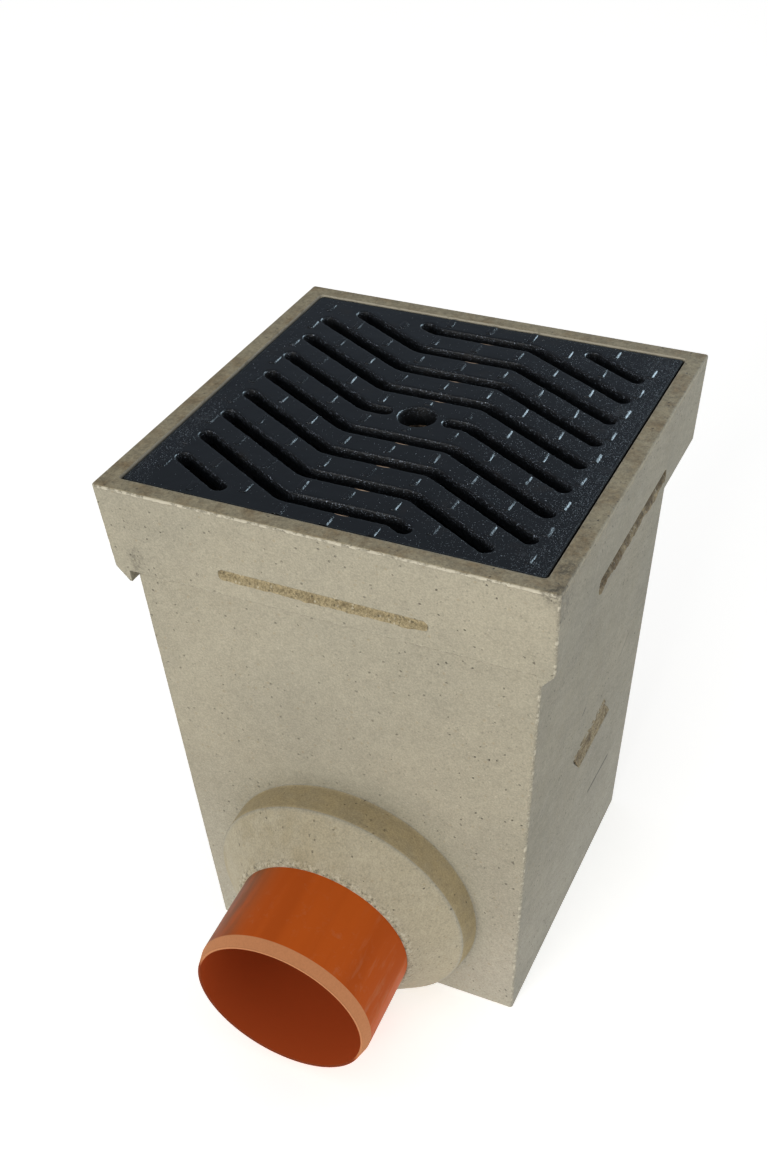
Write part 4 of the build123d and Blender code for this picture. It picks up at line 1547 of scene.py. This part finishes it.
    def rib(self, start: float, end: float) -> tuple[Points, Points]:
        """Stiffener that crosses under the slots.

        Its section is a box with a crowned top, the upper half of a flat ellipse, carried straight along y.

        Args:
            start: Where it starts along y.
            end: Where it ends.

        Returns:
            Points and faces, closed at both ends.
        """
        along = np.linspace(start, end, 60)
        angle = np.linspace(0.0, math.pi, 13)
        half = self.rib_width / 2
        crown = 2.2 * MM
        top = self.top - self.rib_drop
        x = np.concatenate((half * np.cos(angle), [-half, half]))
        z = np.concatenate((top - crown + crown * np.sin(angle), [self.seat, self.seat]))
        count = len(x)
        points = np.column_stack((np.tile(x, len(along)), np.repeat(along, count), np.tile(z, len(along))))
        points[:, 2] += 0.10 * MM * value_noise(points, 4 * MM, 9) * (points[:, 2] > self.seat + MM)
        row, column = np.meshgrid(np.arange(len(along) - 1), np.arange(count), indexing="ij")
        first = (row * count + column).ravel()
        second = (row * count + (column + 1) % count).ravel()
        quads = np.column_stack((first, first + count, second + count, second))
        pole = len(points)
        ends = np.array([[0.0, start, (top + self.seat) / 2], [0.0, end, (top + self.seat) / 2]])
        ring = np.arange(count)
        turned = np.roll(ring, -1)
        front = np.column_stack((ring, turned, np.full(count, pole), np.full(count, pole)))
        last = (len(along) - 1) * count
        back = np.column_stack(
            (last + turned, last + ring, np.full(count, pole + 1), np.full(count, pole + 1))
        )
        return np.vstack((points, ends)), np.vstack((quads, front, back))


@dataclass
class SandCrust:
    """Rough sand that lies in the collar's four grooves and on the patch of the right wall.

    Each place is a grid of shares along it and across it. A function gives how far the sand stands out from
    the wall, and the grid's border sinks into it. The sheet then gets a thickness inwards.
    """

    collar_depth: float = 65.0 * MM
    draft_side: float = 3.4 * MM
    draft_front: float = 7.1 * MM
    groove_drop: float = 48.5 * MM
    groove_length: float = 139.0 * MM
    groove_height: float = 8.0 * MM
    groove_bite: float = 3.0 * MM
    patch_drop: float = 233.5 * MM
    patch_height: float = 28.0 * MM
    patch_length: float = 68.0 * MM
    patch_centre: float = 9.0 * MM
    patch_slant: float = 20.0 * MM
    head_setback: float = 13.5 * MM
    foot_setback: float = 20.0 * MM
    sheet: float = 0.5 * MM
    sunk: float = 0.35 * MM
    overrun_front: float = 0.9 * MM
    overrun_side: float = 2.6 * MM

    def groove(self, number: int) -> tuple[Points, Points]:
        """Sand in one groove: deep under the upper lip, level with the lower one, over which it runs in
        waves.

        The groove's own floor is an arc over its height. The sand takes up a share of its depth that falls
        smoothly from the top to the bottom.

        Args:
            number: Quarter turns from the front face.

        Returns:
            Points and faces.
        """
        _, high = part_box("gully_body")
        share, up = np.meshgrid(np.linspace(-1.0, 1.0, 221), np.linspace(1.0, -1.0, 19), indexing="ij")
        reach = self.groove_length / 2
        radius = self.groove_height / 2
        along = share * reach
        beyond = np.maximum(np.abs(along) - (reach - radius), 0.0)
        half = np.sqrt(np.maximum(radius ** 2 - beyond ** 2, 0.0))
        flat = np.column_stack((along.ravel(), np.zeros(along.size), np.full(along.size, 0.01 * number)))
        wave = (1.0 + 0.9 * value_noise(flat, 9 * MM, 21) + 0.5 * value_noise(flat, 3.5 * MM, 22)).reshape(
            along.shape
        )
        overrun = self.overrun_front if number % 2 == 0 else self.overrun_side
        drop = half * up - overrun * np.maximum(wave, 0.1) * np.clip(-up, 0.0, 1.0) ** 2 * (half / radius)
        drop += 0.4 * overrun * np.clip(up, 0.0, 1.0) ** 2 * (half / radius)
        depth = self.groove_bite * (1.0 - np.clip(up, -1.0, 1.0) ** 2) * (half / radius) ** 2
        fill = np.clip((up + 0.8) / 1.4, 0.0, 1.0)
        out = -depth * (0.12 + 0.76 * fill * fill * (3.0 - 2.0 * fill))
        out += (0.25 * MM + 0.25 * overrun) * np.clip(-up * 1.6, 0.0, 1.0) * (half / radius)
        rough = np.column_stack((along.ravel(), drop.ravel(), np.full(along.size, 0.02 * number)))
        grit = value_noise(rough, 2.6 * MM, 23) + 0.7 * value_noise(rough, 1.2 * MM, 24)
        out += 0.28 * MM * grit.reshape(out.shape)
        border = (np.abs(up) == 1.0) | (np.abs(share) == 1.0)
        out = np.where(border, -self.sunk, out)
        draft = self.draft_front if number % 2 == 0 else self.draft_side
        face = high.x - draft * (self.groove_drop - drop) / self.collar_depth
        away = face + out
        level = high.z - self.groove_drop + drop
        turned = {0: (along, -away), 1: (away, along), 2: (-along, away), 3: (-away, -along)}[number]
        points = np.column_stack((turned[0].ravel(), turned[1].ravel(), level.ravel()))
        return points, grid_faces(along.shape)

    def patch(self) -> tuple[Points, Points]:
        """Sand on the sunk patch of the right wall, a slanted four cornered field with ragged borders.

        Returns:
            Points and faces.
        """
        _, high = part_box("gully_body")
        share, up = np.meshgrid(np.linspace(-1.0, 1.0, 101), np.linspace(1.0, -1.0, 35), indexing="ij")
        flat = np.column_stack((share.ravel() * 0.034, up.ravel() * 0.011, np.zeros(share.size)))
        ragged = (value_noise(flat, 5 * MM, 31) + 0.6 * value_noise(flat, 2 * MM, 32)).reshape(share.shape)
        along = share * self.patch_length / 2 - up * self.patch_slant / 2
        along += 1.4 * MM * ragged * np.abs(share) ** 4
        drop = up * (self.patch_height / 2 + 0.8 * MM * ragged * up ** 4)
        grit = (value_noise(flat, 3.2 * MM, 33) + 0.7 * value_noise(flat, 1.4 * MM, 34)).reshape(share.shape)
        edge = np.minimum(1.0 - np.abs(share), 1.0 - np.abs(up))
        out = 0.15 * MM + 0.42 * MM * grit
        out = np.where(edge == 0.0, -self.sunk, out * np.clip(edge * 6.0, 0.0, 1.0))
        level = high.z - self.patch_drop + drop
        away = self.wall_at(level) + out
        points = np.column_stack((away.ravel(), (self.patch_centre + along).ravel(), level.ravel()))
        return points, grid_faces(share.shape)

    def wall_at(self, level: Points) -> Points:
        """Distance of the right wall from the middle plane at a level: a straight lean from head to foot.

        Args:
            level: Levels.

        Returns:
            The distances.
        """
        _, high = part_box("gully_body")
        head = high.x - self.head_setback
        return head - self.foot_setback * (high.z - self.collar_depth - level) / (high.z - self.collar_depth)

    def build(self, concrete: CastConcrete) -> bpy.types.Object:
        """Build the sand in all its places as one piece.

        Args:
            concrete: Finish that gives the sand's material.

        Returns:
            The new object.
        """
        points, faces, count = [], [], 0
        for part in (*(self.groove(number) for number in range(4)), self.patch()):
            points.append(part[0])
            faces.append(part[1] + count)
            count += len(part[0])
        piece = make_piece("sand_crust", np.vstack(points), np.vstack(faces), Body.GULLY, 60.0)
        wall = piece.modifiers.new("wall", "SOLIDIFY")
        wall.thickness = self.sheet
        wall.offset = -1.0
        paint(piece, concrete.crust())
        return piece


@dataclass(frozen=True)
class Shot:
    """Camera at the photograph's viewpoint, worked out from the object's own straight edges."""

    eye: Colour = (0.3557, -0.7910, 0.8877)
    right: Colour = (0.90806, 0.41790, -0.02804)
    down: Colour = (0.22210, -0.53721, -0.81368)
    forward: Colour = (-0.35510, 0.73264, -0.58064)
    lens: float = 48.37
    sensor: float = 36.0

    def place(self) -> bpy.types.Object:
        """Make the camera and give it to the scene.

        Returns:
            The camera.
        """
        data = bpy.data.cameras.new("camera")
        data.lens = self.lens
        data.sensor_width = self.sensor
        data.clip_start = 0.05
        data.clip_end = 60.0
        camera = bpy.data.objects.new("camera", data)
        bpy.context.scene.collection.objects.link(camera)
        columns = (Vector(self.right), -Vector(self.down), -Vector(self.forward))
        turn = Matrix([[column[row] for column in columns] for row in range(3)]).to_4x4()
        camera.matrix_world = Matrix.Translation(Vector(self.eye)) @ turn
        bpy.context.scene.camera = camera
        return camera


@dataclass(frozen=True)
class Lamp:
    """Square softbox that looks at the gully."""

    name: str
    towards: Colour
    distance: float
    side: float
    power: float
    colour: Colour = (1.0, 1.0, 1.0)
    only_shine: bool = False

    def place(self, target: Vector) -> None:
        """Put the lamp where it shines at the target.

        Args:
            target: Point that it looks at.
        """
        data = bpy.data.lights.new(self.name, "AREA")
        data.shape = "SQUARE"
        data.size = self.side
        data.energy = self.power
        data.color = self.colour
        lamp = bpy.data.objects.new(self.name, data)
        bpy.context.scene.collection.objects.link(lamp)
        lamp.visible_diffuse = not self.only_shine
        direction = Vector(self.towards).normalized()
        lamp.location = target + direction * self.distance
        lamp.rotation_mode = "QUATERNION"
        lamp.rotation_quaternion = direction.to_track_quat("Z", "Y")


@dataclass(frozen=True)
class Studio:
    """White floor, dim bluish surroundings and soft lamps."""

    floor_side: float = 60.0
    floor: Colour = (0.93, 0.93, 0.92)
    floor_glow: float = 0.52
    sky: Colour = (1.0, 1.0, 1.0)
    sky_strength: float = 0.48
    mirrored: Colour = (0.75, 0.90, 1.10)
    mirrored_strength: float = 0.20
    lamps: tuple[Lamp, ...] = (
        Lamp("key", (-0.12, -1.0, 0.24), 4.0, 2.0, 94.0, (1.0, 0.985, 0.95)),
        Lamp("fill", (1.0, -0.25, 0.45), 2.4, 1.2, 3.0, (1.0, 0.99, 0.97)),
        Lamp("kicker", (0.46, 0.76, 0.46), 2.2, 1.4, 60.0, (0.66, 0.86, 1.0), True),
    )

    def place(self) -> None:
        """Build the floor, the world and the lamps."""
        bpy.context.scene.view_settings.view_transform = "Standard"
        self.lay_floor()
        self.light_world()
        for lamp in self.lamps:
            lamp.place(Vector((0.0, 0.0, 0.2)))

    def lay_floor(self) -> None:
        """Flat square floor under the gully's foot."""
        half = self.floor_side / 2
        mesh = bpy.data.meshes.new("floor")
        corners = [(-half, -half, 0.0), (half, -half, 0.0), (half, half, 0.0), (-half, half, 0.0)]
        mesh.from_pydata(corners, [], [(0, 1, 2, 3)])
        floor = bpy.data.objects.new("floor", mesh)
        bpy.context.scene.collection.objects.link(floor)
        bench = Bench("floor")
        tone = bench.step(bench.noise(0.4, 2.0), 0.3, 0.7, (0.0, 0.03))
        colour = bench.mix(tone, self.floor, (0.8, 0.8, 0.8))
        paint(floor, bench.dress(colour, 0.8, Specular_IOR_Level=0.1, Emission_Strength=self.floor_glow,
                                 Emission_Color=(1.0, 1.0, 1.0)))

    def light_world(self) -> None:
        """Pale light from all round, dimmer in reflections, and a white backdrop past the floor."""
        world = bpy.data.worlds.new("studio")
        bpy.context.scene.world = world
        world.use_nodes = True
        tree = world.node_tree
        tree.nodes.clear()
        output = tree.nodes.new("ShaderNodeOutputWorld")
        rays = tree.nodes.new("ShaderNodeLightPath")
        result = self.backdrop(tree, self.sky, self.sky_strength)
        for kind, colour, strength in (("Is Glossy Ray", self.mirrored, self.mirrored_strength),
                                       ("Is Camera Ray", (1.0, 1.0, 1.0), 1.0)):
            mix = tree.nodes.new("ShaderNodeMixShader")
            tree.links.new(rays.outputs[kind], mix.inputs["Fac"])
            tree.links.new(result, mix.inputs[1])
            tree.links.new(self.backdrop(tree, colour, strength), mix.inputs[2])
            result = mix.outputs[0]
        tree.links.new(result, output.inputs["Surface"])

    def backdrop(self, tree: bpy.types.NodeTree, colour: Colour, strength: float) -> Socket:
        """Even light of one colour from all round.

        Args:
            tree: The world's tree.
            colour: The light's colour.
            strength: Its strength.

        Returns:
            The light's output.
        """
        node = tree.nodes.new("ShaderNodeBackground")
        node.inputs["Color"].default_value = (*colour, 1.0)
        node.inputs["Strength"].default_value = strength
        return node.outputs[0]


@dataclass
class CastBody:
    """The polymer concrete casting with the stub that is cast into it."""

    pipe: PipeLine
    concrete: CastConcrete = CastConcrete()
    plastic: CastPipe = CastPipe()
    crust: SandCrust = field(default_factory=SandCrust)

    def dress(self) -> None:
        """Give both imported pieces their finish, and lay the sand into the grooves."""
        paint(frame["nodes"]["gully_body"], self.concrete.material(self.pipe))
        paint(frame["nodes"]["outlet_pipe"], self.plastic.material(self.pipe))
        sand = self.crust.build(self.concrete)
        log.info("%s has %d faces", sand.name, len(sand.data.polygons))


@dataclass
class InnerFittings:
    """Bucket with its bail, and the trap in the outlet."""

    plastic: Moulded = Moulded("grey_plastic", (0.022, 0.024, 0.027), (0.045, 0.048, 0.052), 0.42)
    rubber: Moulded = Moulded("black_rubber", (0.012, 0.012, 0.012), (0.03, 0.03, 0.03), 0.6)
    wire: ZincWire = ZincWire()

    def dress(self) -> None:
        """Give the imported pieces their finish."""
        grey = self.plastic.material()
        for name in ("sediment_bucket", "trap_elbow", "trap_bell"):
            paint(frame["nodes"][name], grey)
        paint(frame["nodes"]["trap_seal"], self.rubber.material())
        paint(frame["nodes"]["bucket_bail"], self.wire.material())


def main() -> None:
    """Build and dress the gully, piece by piece, and report each."""
    logging.basicConfig(level=logging.INFO, format="%(message)s")
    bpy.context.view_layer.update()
    Shot().place()
    Studio().place()
    pipe = PipeLine.from_frame()
    CastBody(pipe).dress()
    log.info("cast body and outlet stub dressed")
    grate = WaveGrate().build(BitumenIron())
    log.info("%s has %d faces", grate.name, len(grate.data.polygons))
    InnerFittings().dress()
    log.info("bucket, bail and trap dressed")


if __name__ == "__main__":
    main()
